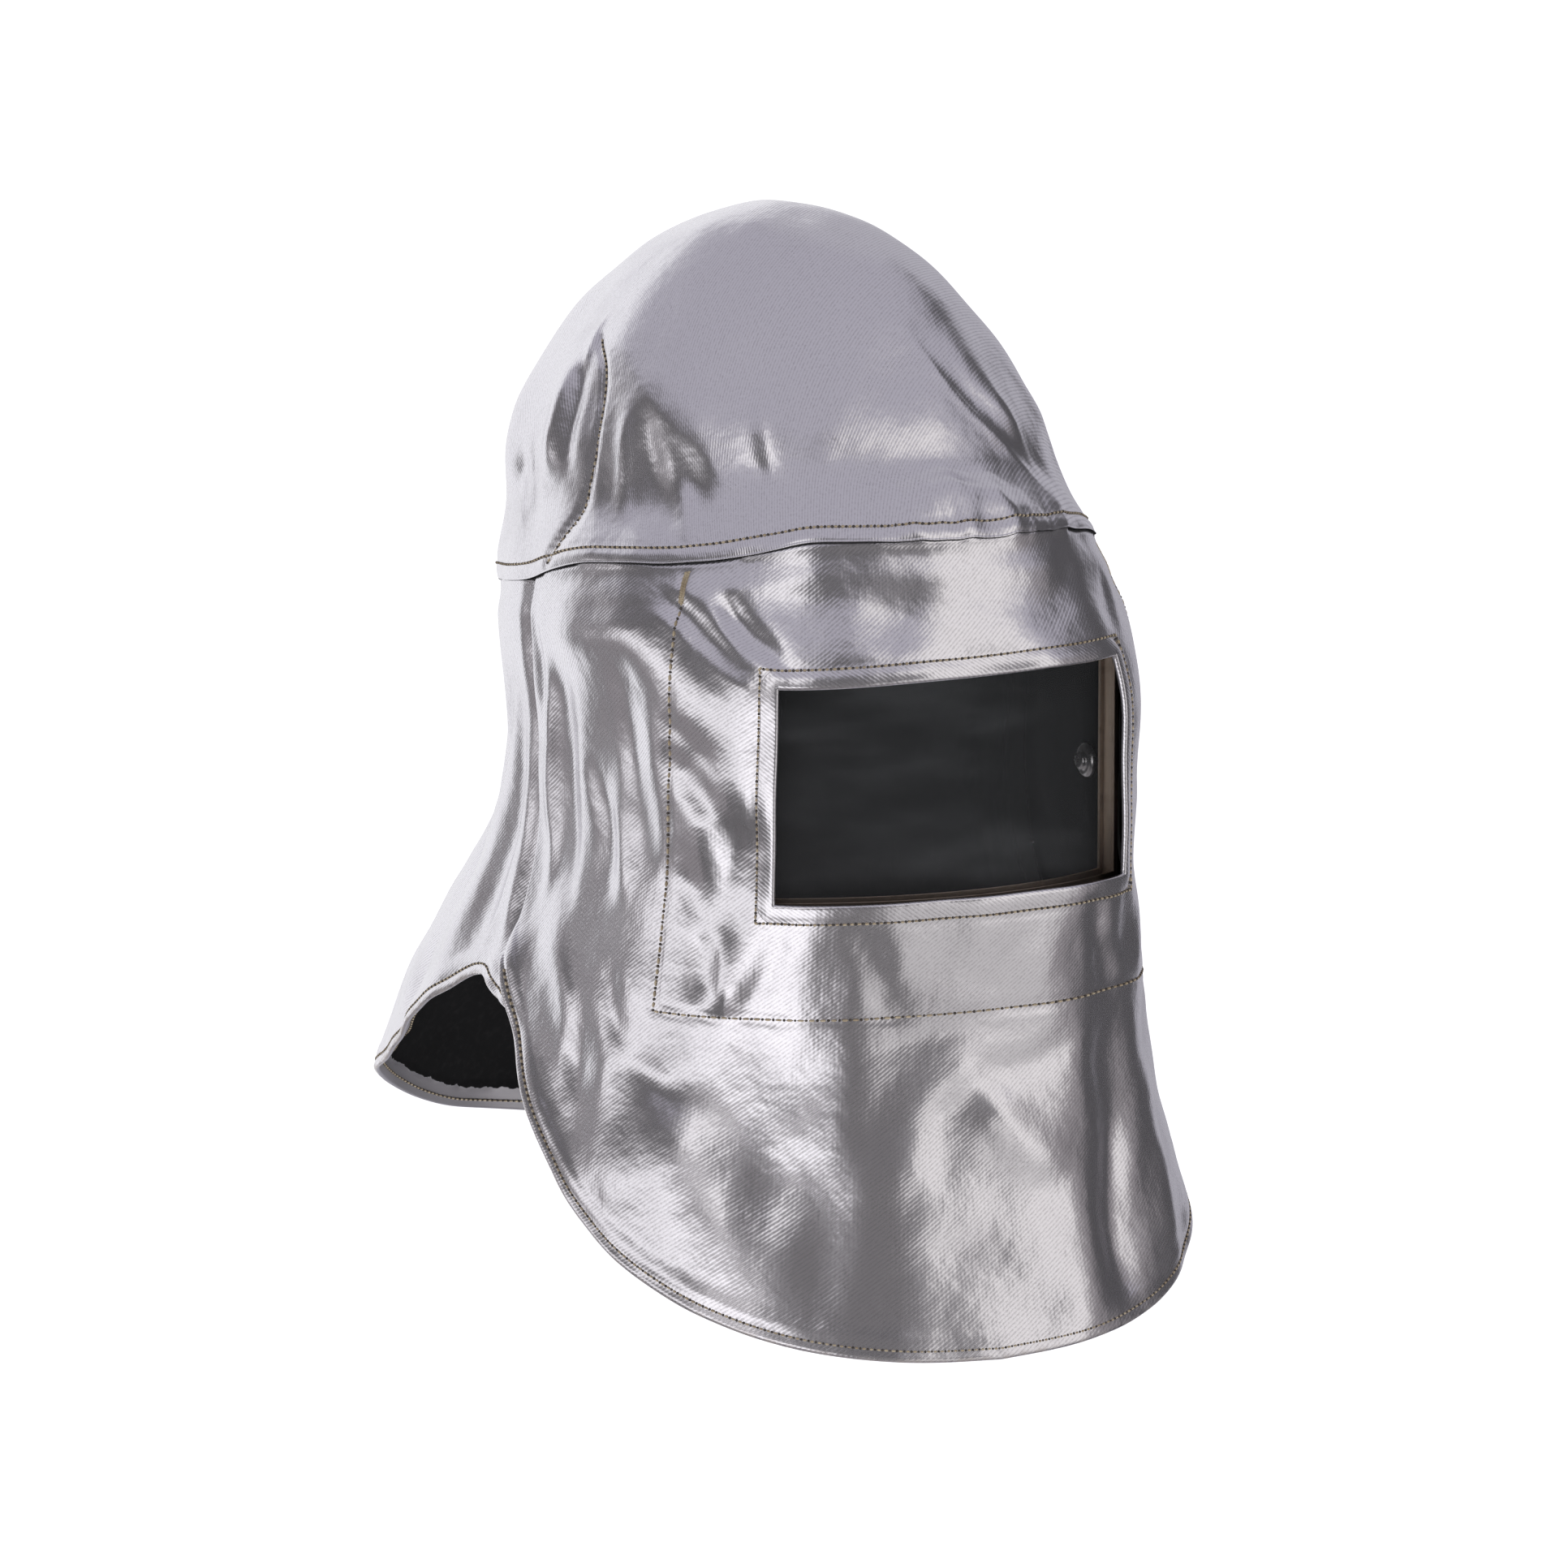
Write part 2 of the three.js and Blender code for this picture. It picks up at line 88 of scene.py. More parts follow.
def signed_degrees(angle: Array) -> Array:
    """Angle in radians as degrees from -180 to 180, 0 at the face."""
    return np.arctan2(np.sin(angle), np.cos(angle)) / DEG


def wrapped(degrees: Array) -> Array:
    """Degrees brought into the range from -180 to 180."""
    return (degrees + 540) % 360 - 180


def unit(vectors: Array) -> Array:
    """Vectors scaled to length 1."""
    return vectors / np.maximum(np.linalg.norm(vectors, axis=-1, keepdims=True), 1e-9)


class Curve:
    """Smooth curves through the rows of a table whose first column is the key."""

    def __init__(self, rows: Sequence[Sequence[float]]) -> None:
        """Keeps the table and the slope at each row.

        Args:
            rows: the key and the values of each row, by rising key.
        """
        self.table = np.array(rows, float)
        keys = self.table[:, 0]
        order = np.arange(len(keys))
        low = np.maximum(order - 1, 0)
        high = np.minimum(order + 1, len(keys) - 1)
        self.slopes = (self.table[high] - self.table[low]) / (keys[high] - keys[low])[:, None]

    def at(self, x: Array, column: int = 1) -> Array:
        """One column's value at each key.

        Args:
            x: keys, held to the table's range.
            column: number of the column.

        Returns:
            The values, in the shape of x.
        """
        keys = self.table[:, 0]
        x = np.clip(x, keys[0], keys[-1])
        i = np.clip(np.searchsorted(keys, x, side="right") - 1, 0, len(keys) - 2)
        step = keys[i + 1] - keys[i]
        u = (x - keys[i]) / step
        value, slope = self.table[:, column], self.slopes[:, column]
        start = (2 * u**3 - 3 * u**2 + 1) * value[i] + (u**3 - 2 * u**2 + u) * step * slope[i]
        end = (3 * u**2 - 2 * u**3) * value[i + 1] + (u**3 - u**2) * step * slope[i + 1]
        return start + end


class Profile(Enum):
    """Shape of a fold across its line."""

    ROUND = "round"
    SHARP = "sharp"
    HINGE = "hinge"

    def height(self, across: Array) -> Array:
        """Height at a signed distance from the line, in widths; a hinge leaves the plus side alone."""
        if self is Profile.SHARP:
            return np.exp(CREASE_BLUNT - np.sqrt(across**2 * CREASE_STEEP + CREASE_BLUNT**2))
        if self is Profile.HINGE:
            fallen = np.maximum(-across, 0)
            return HINGE_PEAK * fallen * np.exp(-(fallen**2) / 2)
        return np.exp(-(across**2))


@dataclass(frozen=True)
class Fold:
    """A ridge, or a dent where its height is minus, along a line between two places on the hood.

    Angles are in degrees, the rest in mm. Mirror is the height of its twin on the other side, as a share
    of its own. Bow is how far the middle of the line is pushed aside. A minus width turns the profile round.
    """

    angle0: float
    drop0: float
    angle1: float
    drop1: float
    height: float
    width: float
    mirror: float = 0.0
    bow: float = 0.0
    profile: Profile = Profile.ROUND


SHARP, HINGE = Profile.SHARP, Profile.HINGE

# Main folds: angle and drop of both ends of the line, height, width and mirror.
MAIN_FOLDS = (
    (-88, 50, -86, 118, 2.2, 9, 1),
    (-74, 58, -71, 112, -1.4, 8, 1),
    (-78, 58, -36, 121, -0.5, 12, 0.6),
    (-62, 44, -26, 98, 0.5, 14, 0.6),
    (-33, 62, -36, 118, -0.5, 7, 0.4),
    (-26, 60, -28, 118, 1.0, 8, 0.4),
    (18, 36, 31, 126, 2, 10, 0),
    (-104, 100, -96, 126, -2.2, 8, 0.8),
    (-112, 60, -112, 128, 2.4, 12, 0.8),
    (148, 70, 152, 134, -2.6, 14, 0.9),
    (-88, 168, -86, 300, 1.9, 7.5, 0.3),
    (-80, 156, -79, 304, -1.5, 9, 0.3),
    (-72, 158, -72, 306, 1.2, 9.5, 0.3),
    (-65, 165, -64, 300, -1.0, 9, 0.3),
    (-40, 148, -29, 172, -1.6, 6, 0.5),
    (-47, 162, -36, 186, -1.2, 6, 0.5),
    (-46, 205, -37, 240, -1.0, 9, 0.6),
    (-47, 250, -37, 288, -1.4, 8, 0.6),
    (-31, 268, -37, 330, 2.2, 9, 0.3),
    (-44, 330, -32, 420, -1, 20, 0),
    (-16, 325, -9, 500, 1.2, 22, 0),
    (29, 285, 23, 500, -4.5, 12, 0.3),
    (46, 318, 50, 420, -3.5, 15, 0),
    (50, 400, 52, 540, 4, 14, 0),
    (-70, 322, -60, 390, -2.4, 10, 0.6),
    (-92, 290, -90, 360, 5, 14, 0.7),
    (-98, 170, -112, 338, -3.2, 10, 1),
    (-110, 200, -126, 400, 3.2, 12, 1),
    (-126, 215, -141, 440, -4.2, 13, 1),
    (-143, 210, -156, 470, 4, 14, 0.9),
    (-160, 215, -169, 470, -4.2, 14, 1),
    (180, 200, 180, 480, 4, 15, 0),
)

# Finer folds and creases: the same, then the bow and the profile where they matter.
FINE_FOLDS = (
    # crown, about the dart: its apex, the flank behind it, the hollow under the brow of the dome
    (-86, 38, -80, 72, 1.3, 4, 1, 0, SHARP),
    (-82, 54, -77, 114, -1.7, 5, 1, -1),
    (-91, 56, -87, 118, 1.2, 6, 0.9, 2),
    (-80, 44, -30, 126, -2.6, 30, 0.6, 12, HINGE),
    (-96, 114, -34, 126, -1.2, 12, 0.6),
    (-26, 50, -34, 132, -1.4, 5, 0.4, 5, HINGE),
    (-69, 70, -71, 128, 0.5, 2.6, 0.9, 0, SHARP),
    (-60, 66, -63, 128, 1.8, 4.8, 0.8, 1),
    (-46, 104, -27, 104, 1.8, 10, 0.3),
    (-54, 62, -53, 124, -0.8, 5, 0.8),
    (-47.5, 84, -47, 130, 1.3, 5, 0.7),
    (-64, 125, -47, 129, 0.8, 4, 0.7),
    (-40, 133, -25, 121, -1.0, 4, 0.5),
    (-102, 106, -98, 138, 1.4, 5, 0.8),
    (-95, 92, -92, 134, -1.2, 4, 0.8),
    # crown, the wearer's left: a long crease and the gathers above the brow
    (7, 38, 34, 128, 1.2, 3.2, 0, -5, SHARP),
    (12, 42, 37, 126, -1.6, 8, 0, -5),
    (40, 60, 52, 128, 1.6, 8, 0),
    (-11, 113, 23, 112, 5.4, 8, 0),
    (-6, 98, -5, 134, 1.3, 4, 0),
    (3, 98, 6, 134, 1.8, 5, 0),
    (15, 98, 13, 134, 1.6, 4.5, 0),
    (-9, 104, -8, 130, 0.7, 2.6, 0.2, 0, SHARP),
    (-1, 102, 0, 130, 0.9, 2.8, 0, 2, SHARP),
    (4, 108, 3, 130, -0.7, 2.4, 0),
    (9, 106, 6, 130, 0.9, 2.8, 0, -1, SHARP),
    (17, 104, 10, 130, -0.9, 3, 0),
    (22, 108, 17, 131, 0.8, 3, 0, 0, SHARP),
    (26, 110, 24, 131, -0.8, 3, 0),
    (31, 108, 29, 134, 0.9, 3.4, 0, 0, SHARP),
    # face panel: the shelf under the crown, the streaks beside the visor pocket
    (-96, 172, -42, 168, 4.6, 13, 0.15),
    (-91, 146, -89, 236, -1.4, 4.5, 0.3),
    (-85, 160, -84, 304, 0.7, 5, 0.3, -5),
    (-76, 196, -74, 300, -1.5, 5.5, 0.3, -4),
    (-74, 210, -69, 280, 0.5, 5, 0.3, 3),
    (-70, 214, -62, 290, -1.3, 5.5, 0.3, 1),
    (-66, 226, -57, 290, 1.0, 6, 0.3, 1),
    (-61, 164, -53, 292, -2.6, 9.5, 0.3, 2),
    (-53, 186, -51, 252, 1.0, 6, 0.3),
    (-56, 148, -31, 184, -1.7, 4.6, 0.3, 3),
    (-57, 156, -32, 190, 0.8, 4, 0.3, 3, SHARP),
    (-41, 142, -26, 178, -1.7, 4.6, 0.3, -2),
    (-44, 144, -28, 181, 0.8, 4, 0.3, -2, SHARP),
    (-50, 194, -37, 222, -1.3, 5, 0.3),
    (-50, 211, -36, 248, -1.4, 6.5, 0.3, 2),
    (-36, 222, -38, 294, -2.9, 7.5, 0.3, 2),
    (-42, 228, -43, 276, 1.0, 6, 0.3),
    (-46, 260, -42, 288, -1.3, 5.5, 0.3),
    (-17, 124, -12, 176, -1.4, 11, 0.3),
    (-5, 128, 0, 178, 0.7, 11, 0.3),
    (31, 130, 11, 174, -2.0, 8, 0),
    # below the window: dents at its corner, then the bib's flare and its slack waves
    (-30, 268, -35.5, 328, -2.2, 5, 0.5, 2),
    (-37.5, 278, -38, 326, 2.0, 4.5, 0.5),
    (-42, 275, -43.5, 324, -2.0, 4.5, 0.5),
    (-17, 276, -14.5, 326, -1.9, 7, 0),
    (19, 273, 29, 328, -2.0, 7, 0),
    (-18, 330, 11, 332, -0.9, 6, 0),
    (-79, 294, -64, 350, 1.4, 7, 0.6, -3),
    (-67, 330, -60, 396, -1.9, 8.5, 0.6, -8),
    (-77, 330, -68, 378, -1.4, 7.5, 0.6),
    (-71, 336, -65, 376, 0.7, 5.5, 0.6),
    (-61, 304, -55, 340, -1.3, 6.5, 0.6),
    (-54, 336, -45, 362, -1.1, 7, 0.4),
    (-56, 412, -36, 352, 2.6, 15, 0.4),
    (-49, 344, -38, 446, 2.6, 24, 0),
    (-13, 376, 22, 331, -2.4, 9, 0),
    (-11, 338, 18, 396, 3.0, 11, 0),
    (32, 338, 19, 468, -2.0, 7, 0),
    (38, 372, 36, 458, 2.0, 8, 0),
    (-8, 472, -8, 402, -1.5, 30, 0),
    (-26, 384, -6, 386, 1.2, 14, 0.4),
    # cape: long streaks from the nape seam to the hem
    (-103, 188, -125, 270, -2.0, 5, 0.9),
    (-95, 220, -99, 294, -1.1, 3.6, 0.9),
    (-99, 212, -107, 338, 1.0, 4, 0.9, 0, SHARP),
    (-118, 214, -135, 368, 1.2, 5, 0.8, 4, SHARP),
    (-134, 192, -149, 338, -1.4, 6, 0.9, 3),
    (-150, 200, -161, 308, 1.2, 5, 0.7, 0, SHARP),
    (-166, 182, -175, 338, -1.3, 6, 0.6),
    (172, 178, 170, 308, 1.2, 5, 0, 0, SHARP),
    # back of the crown: shallow drags towards the nape seam
    (-128, 78, -124, 156, -1.5, 8, 0.7, 3),
    (-138, 90, -140, 166, 1.2, 6, 0.6, 0, SHARP),
    (-158, 64, -154, 166, -1.4, 9, 0.8),
    (-171, 104, -168, 172, 1.0, 5, 0.7, 0, SHARP),
    (176, 54, 178, 156, -1.2, 9, 0),
)


@dataclass(frozen=True)
class Ripple:
    """One slow wave through the cloth, so that no stretch of it is quite smooth."""

    direction: tuple[float, float, float]
    phase: float
    height: float


@dataclass
class HoodForm:
    """The worn hood's outer face: level sections, a leaning dome and the folds in it.

    A place is an angle from the face in radians and a drop below the head seat in mm. Level runs 0 to 1
    over the dome and goes on below it, 0.01 for each mm.
    """

    # Cloth, its turned hem, and the lap of the crown over the panels.
    cloth: float = 1.5
    hem: float = 11.0
    hem_cloth: float = 2.8
    lap: float = 11.0
    lap_gap: float = 0.9
    lap_lip: float = 3.0
    lap_run: float = 14.0
    skin: float = 0.3
    # The crown's lower lip, which tilts and waves.
    seam_level: float = 149.0
    seam_tilt: float = 24.0
    seam_wave: float = 1.6
    seam_waves: int = 7
    seam_phase: float = 1.0
    # The dome: its rise, arc and lean, and the waist above its lip.
    top_rise: float = 1.5
    dome_arc: float = 74 * DEG
    pole_back: float = 17.0
    lean: float = 21.0
    waist: float = 0.04
    waist_at: float = 0.82
    waist_run: float = 0.13
    # Side edges of the panels, where the cape goes under the face panel.
    face_edge: float = 93 * DEG
    cape_edge: float = 88.5 * DEG
    side_inset: float = 4.1
    side_until: float = 93.6
    side_run: float = 6.0
    side_ease: float = 30.0
    side_least: float = 0.5
    # Folds: the radius that makes lengths of angles, the reach in widths, and the share of a line that
    # fades at each end.
    arc_radius: float = 130.0
    least_ring: float = 0.3
    fold_reach: float = 3.0
    fold_fade: float = 0.4
    # Slow waves: ripples in the cloth, and a wander of the folds' lines.
    ripple_height: float = 0.15
    ripple_count: int = 26
    ripple_lengths: tuple[float, float] = (24.0, 75.0)
    wander: float = 0.75
    wander_count: int = 10
    wander_lengths: tuple[float, float] = (30.0, 70.0)
    seed: int = 11
    # Level sections: drop, half width, front, back, squareness in front and behind.
    sections: Curve = field(default_factory=lambda: Curve((
        (107, 120, 138, 141, 2.1, 2.1), (147, 122.5, 146, 144, 2.4, 2.1),
        (182, 122, 160, 136, 3.0, 2.1), (227, 119, 166, 130, 3.1, 2.1),
        (272, 121, 166, 153, 2.9, 2.2), (327, 136, 163, 195, 2.5, 2.4),
        (377, 150, 168, 223, 2.3, 2.5), (427, 157, 178, 239, 2.4, 2.5),
        (477, 161, 190, 247, 2.4, 2.5))))
    # Hems, the same on both sides: angle from the face and drop.
    bib_hem: Curve = field(default_factory=lambda: Curve((
        (0, 465), (15, 462), (30, 454), (45, 438), (60, 413), (75, 375), (84, 347), (94, 315))))
    cape_hem: Curve = field(default_factory=lambda: Curve((
        (86, 338), (95, 333), (104, 326), (116, 339), (132, 366), (148, 396), (164, 422), (180, 436))))

    def __post_init__(self) -> None:
        """Makes the list of folds, each with its weaker twin on the other side, and the ripples."""
        self.folds: list[Fold] = []
        for fold in [Fold(*row) for row in MAIN_FOLDS + FINE_FOLDS]:
            self.folds.append(fold)
            if fold.mirror:
                turned = -1.0 if fold.profile is Profile.HINGE else 1.0
                self.folds.append(replace(fold, angle0=-fold.angle0, angle1=-fold.angle1, bow=-fold.bow,
                                          height=fold.height * fold.mirror, width=fold.width * turned))
        self.ripples = self.draw_waves(0, self.ripple_count, self.ripple_lengths, self.ripple_height)
        self.sideways = self.draw_waves(1, self.wander_count, self.wander_lengths, self.wander)
        self.upright = self.draw_waves(2, self.wander_count, self.wander_lengths, self.wander)

    def draw_waves(self, part: int, count: int, lengths: tuple[float, float], height: float) -> list[Ripple]:
        """Waves that run every way, always the same ones.

        Args:
            part: which set this is.
            count: how many waves.
            lengths: shortest and longest wave length in mm.
            height: height of the longest one in mm.

        Returns:
            The waves.
        """
        short, long = lengths
        draw = np.random.default_rng(self.seed + part)
        found = []
        for _ in range(count):
            length = draw.uniform(short, long)
            way = unit(draw.normal(size=3)) * (2 * math.pi / length)
            phase = float(draw.uniform(0, 2 * math.pi))
            found.append(Ripple(tuple(float(c) for c in way), phase, height * math.sqrt(length / long)))
        return found

    def seam_drop(self, angle: Array) -> Array:
        """Drop of the crown's lower lip."""
        wave = self.seam_wave * np.sin(self.seam_waves * angle + self.seam_phase)
        return self.seam_level - self.seam_tilt * np.cos(angle) + wave

    def bib_drop(self, angle: Array) -> Array:
        """Drop of the face panel's hem."""
        return self.bib_hem.at(np.abs(signed_degrees(angle)))

    def cape_drop(self, angle: Array) -> Array:
        """Drop of the cape's hem."""
        return self.cape_hem.at(np.abs(signed_degrees(angle)))

    def section_radius(self, angle: Array, drop: Array) -> Array:
        """Radius of the level section, a superellipse with its own front and back."""
        front = np.cos(angle) >= 0
        half = self.sections.at(drop, 1)
        depth = np.where(front, self.sections.at(drop, 2), self.sections.at(drop, 3))
        power = np.where(front, self.sections.at(drop, 4), self.sections.at(drop, 5))
        wide = np.abs(np.sin(angle) / half) ** power
        return (wide + np.abs(np.cos(angle) / depth) ** power) ** (-1 / power)

    def level_of(self, angle: Array, drop: Array) -> Array:
        """Level of a drop, on the dome or below it."""
        seam = self.seam_drop(angle)
        fall = np.clip((drop + self.top_rise) / (seam + self.top_rise), 0, 1)
        share = np.arccos(1 - fall * (1 - math.cos(self.dome_arc))) / self.dome_arc
        return np.where(drop < seam, share, 1 + (drop - seam) / LEVEL_MM)

    def plain(self, angle: Array, level: Array) -> tuple[Array, Array, Array]:
        """The hood without folds.

        Args:
            angle: angles from the face.
            level: levels, in the same shape.

        Returns:
            Points, drops, and the ring's size as a share of the seam's.
        """
        seam = self.seam_drop(angle)
        upper = np.minimum(level, 1.0)
        rise = 1 - math.cos(self.dome_arc)
        dome_drop = (seam + self.top_rise) * (1 - np.cos(upper * self.dome_arc)) / rise - self.top_rise
        below = level >= 1
        drop = np.where(below, seam + (level - 1) * LEVEL_MM, dome_drop)
        fall = (dome_drop + self.top_rise) / (seam + self.top_rise)
        pull = 1 - self.waist * np.exp(-(((fall - self.waist_at) / self.waist_run) ** 2))
        ring = np.where(below, 1.0, np.sin(upper * self.dome_arc) / math.sin(self.dome_arc) * pull)
        radius = self.section_radius(angle, np.where(below, drop, seam)) * ring
        shift = self.pole_back * (1 - ring) + self.lean * 4 * fall * (1 - fall)
        back = np.where(below, 0.0, shift)
        points = np.stack([radius * np.sin(angle), back - radius * np.cos(angle), -drop], -1)
        return points, drop, ring

    def fold_height(self, angle: Array, drop: Array, ring: Array, points: Array) -> Array:
        """Height of all the folds together at each place, in mm; their lines wander a little."""
        scale = self.arc_radius * DEG * np.maximum(ring, self.least_ring)
        degrees = signed_degrees(angle) + self.waves(points, self.sideways) / scale
        drop = drop + self.waves(points, self.upright)
        total = np.zeros(np.broadcast(degrees, drop).shape)
        for fold in self.folds:
            reach = self.fold_reach * abs(fold.width) + abs(fold.bow)
            near = (drop > min(fold.drop0, fold.drop1) - reach) & (drop < max(fold.drop0, fold.drop1) + reach)
            turn = wrapped(degrees - fold.angle0)
            span = abs(fold.angle1 - fold.angle0)
            near &= np.abs(turn) * scale < span * scale + reach
            if not near.any():
                continue
            size = scale[near]
            px, py = turn[near] * size, drop[near] - fold.drop0
            dx, dy = (fold.angle1 - fold.angle0) * size, fold.drop1 - fold.drop0
            length = np.hypot(dx, dy)
            share = np.clip((px * dx + py * dy) / length**2, 0, 1)
            across = (px * dy - py * dx) / length - fold.bow * 4 * share * (1 - share)
            fade = ease(share / self.fold_fade) * ease((1 - share) / self.fold_fade)
            total[near] += fold.height * fold.profile.height(across / fold.width) * fade
        return total

    @staticmethod
    def waves(points: Array, ripples: Sequence[Ripple]) -> Array:
        """Sum of slow waves at each point."""
        total = np.zeros(points.shape[:-1])
        for ripple in ripples:
            total += ripple.height * np.sin(points @ np.array(ripple.direction) + ripple.phase)
        return total

    @staticmethod
    def normals(sample: Callable[[Array, Array], Array], angle: Array, level: Array) -> Array:
        """Outward normals of a surface, from its differences.

        Args:
            sample: gives the points at angles and levels.
            angle: angles from the face.
            level: levels, in the same shape.

        Returns:
            Unit vectors.
        """
        step = np.where(level >= 1, NORMAL_BELOW, NORMAL_DOME)
        across = sample(angle + NORMAL_TURN, level) - sample(angle - NORMAL_TURN, level)
        down = sample(angle, level + step) - sample(angle, np.maximum(level - step, POLE_LEVEL))
        return unit(np.cross(down, across))

    def folded(self, angle: Array, level: Array) -> Array:
        """Points of the outer face with its folds and ripples."""
        points, drop, ring = self.plain(angle, level)
        way = self.normals(lambda a, v: self.plain(a, v)[0], angle, level)
        height = self.fold_height(angle, drop, ring, points) + self.waves(points, self.ripples)
        return points + way * height[..., None]

    def surface(self, angle: Array, level: Array) -> tuple[Array, Array]:
        """Points and outward normals of the outer face."""
        return self.folded(angle, level), self.normals(self.folded, angle, level)

    def face_inset(self, angle: Array, drop: Array) -> Array:
        """How far the face panel lies inside the outer face."""
        out = ease((drop - self.seam_drop(angle) - self.lap_lip) / self.lap_run)
        return self.skin + (self.cloth + self.lap_gap - self.skin) * (1 - out)

    def cape_inset(self, angle: Array, drop: Array) -> Array:
        """How far the cape lies inside the outer face, deeper under the face panel's edge."""
        clear = ease((np.abs(signed_degrees(angle)) - self.side_until) / self.side_run)
        eased = ease((drop - self.seam_drop(angle)) / self.side_ease)
        deep = self.side_least + (1 - self.side_least) * eased
        return self.face_inset(angle, drop) + self.side_inset * deep * (1 - clear)


FORM = HoodForm()


def arithmetic(operation: str, other_first: bool = False) -> Callable[["Wire", object], "Wire"]:
    """An operator of a Wire, which adds a Math node.

    Args:
        operation: the Math node's operation.
        other_first: whether the other value is the first one.

    Returns:
        The operator's method.
    """

    def method(wire: "Wire", other: object) -> "Wire":
        """Adds the node."""
        values = (other, wire) if other_first else (wire, other)
        return wire.maths(operation, *values)

    return method


class Wire:
    """A node socket that takes part in Python arithmetic, adding Math nodes."""

    __add__ = arithmetic("ADD")
    __radd__ = arithmetic("ADD", True)
    __sub__ = arithmetic("SUBTRACT")
    __rsub__ = arithmetic("SUBTRACT", True)
    __mul__ = arithmetic("MULTIPLY")
    __rmul__ = arithmetic("MULTIPLY", True)
    __truediv__ = arithmetic("DIVIDE")
    __pow__ = arithmetic("POWER")

    def __init__(self, net: "NodeNet", socket: bpy.types.NodeSocket) -> None:
        """Keeps the socket and the net it belongs to."""
        self.net = net
        self.socket = socket

    def maths(self, operation: str, *values: object) -> "Wire":
        """A Math node of that operation on these values."""
        return self.net.add("ShaderNodeMath", {"operation": operation}, dict(enumerate(values)))

    def sine(self) -> "Wire":
        """Sine of the value."""
        return self.maths("SINE", self)

    def step(self, low: float, high: float) -> "Wire":
        """Smooth step from 0 at low to 1 at high."""
        values = {"Value": self, "From Min": low, "From Max": high}
        return self.net.add("ShaderNodeMapRange", {"interpolation_type": "SMOOTHSTEP"}, values)


class NodeNet:
    """A node tree that is filled in from Python."""

    def __init__(self, tree: bpy.types.NodeTree) -> None:
        """Empties the tree and keeps it."""
        self.tree = tree
        tree.nodes.clear()

    def add(self, kind: str, settings: dict[str, object], values: dict[object, object],
            out: int | str = 0) -> Wire | None:
        """Adds any node.

        Args:
            kind: the node's type.
            settings: its properties, which are set first.
            values: values, wires or lists of wires by socket number, name or identifier.
            out: number, name or identifier of the output that is wanted.

        Returns:
            That output, or None for a node that has none.
        """
        node = self.tree.nodes.new(kind)
        for name, value in settings.items():
            setattr(node, name, value)
        for name, value in values.items():
            socket = self.pick(node.inputs, name)
            for given in value if isinstance(value, list) else [value]:
                if isinstance(given, Wire):
                    self.tree.links.new(given.socket, socket)
                else:
                    socket.default_value = given
        return Wire(self, self.pick(node.outputs, out)) if node.outputs else None

    @staticmethod
    def pick(sockets: bpy.types.NodeInputs, name: int | str) -> bpy.types.NodeSocket:
        """The socket of that number, identifier or name."""
        if isinstance(name, str):
            for socket in sockets:
                if socket.identifier == name:
                    return socket
        return sockets[name]

    def mix(self, share: object, first: object, second: object) -> Wire:
        """Colour between two others."""
        values = {"Factor_Float": share, "A_Color": first, "B_Color": second}
        return self.add("ShaderNodeMix", {"data_type": "RGBA"}, values, "Result_Color")

    def noise(self, where: Wire, scale: float, detail: float = 3.0, rough: float = 0.55) -> Wire:
        """Noise from 0 to 1 at a vector."""
        values = {"Vector": where, "Scale": scale, "Detail": detail, "Roughness": rough}
        return self.add("ShaderNodeTexNoise", {}, values, "Fac")

    def split(self, vector: Wire) -> tuple[Wire, ...]:
        """The three parts of a vector."""
        node = self.add("ShaderNodeSeparateXYZ", {}, {"Vector": vector}).socket.node
        return tuple(Wire(self, part) for part in node.outputs)

    def attribute(self, name: str) -> Wire:
        """A number stored on the mesh."""
        return self.add("ShaderNodeAttribute", {"attribute_name": name}, {}, "Fac")

    def weave_map(self) -> Wire:
        """The cloth's own flat coordinates, in metres."""
        return self.add("ShaderNodeUVMap", {"uv_map": WEAVE}, {})

    def place(self) -> Wire:
        """Object coordinates."""
        return self.add("ShaderNodeTexCoord", {}, {}, "Object")

    def stretched(self, scale: tuple[float, float, float], turn: float = 0.0) -> Wire:
        """Object coordinates stretched along each axis, and turned about Y by an angle in radians."""
        values = {"Vector": self.place(), "Scale": scale, "Rotation": (0.0, turn, 0.0)}
        return self.add("ShaderNodeMapping", {}, values)

    def bump(self, height: Wire, depth: float, under: Wire | None = None) -> Wire:
        """Normal of a bumpy surface, over another normal if there is one; depth in metres at height 1."""
        values = {"Strength": 1.0, "Distance": depth, "Height": height}
        if under is not None:
            values["Normal"] = under
        return self.add("ShaderNodeBump", {}, values)


def new_material(name: str) -> tuple[bpy.types.Material, NodeNet]:
    """An empty node material and its net."""
    material = bpy.data.materials.new(name)
    material.use_nodes = True
    return material, NodeNet(material.node_tree)


def principled(net: NodeNet, values: dict[object, object]) -> None:
    """Adds the Principled shader with these inputs and the material's output."""
    shader = net.add("ShaderNodeBsdfPrincipled", {}, values)
    net.add("ShaderNodeOutputMaterial", {}, {"Surface": shader})


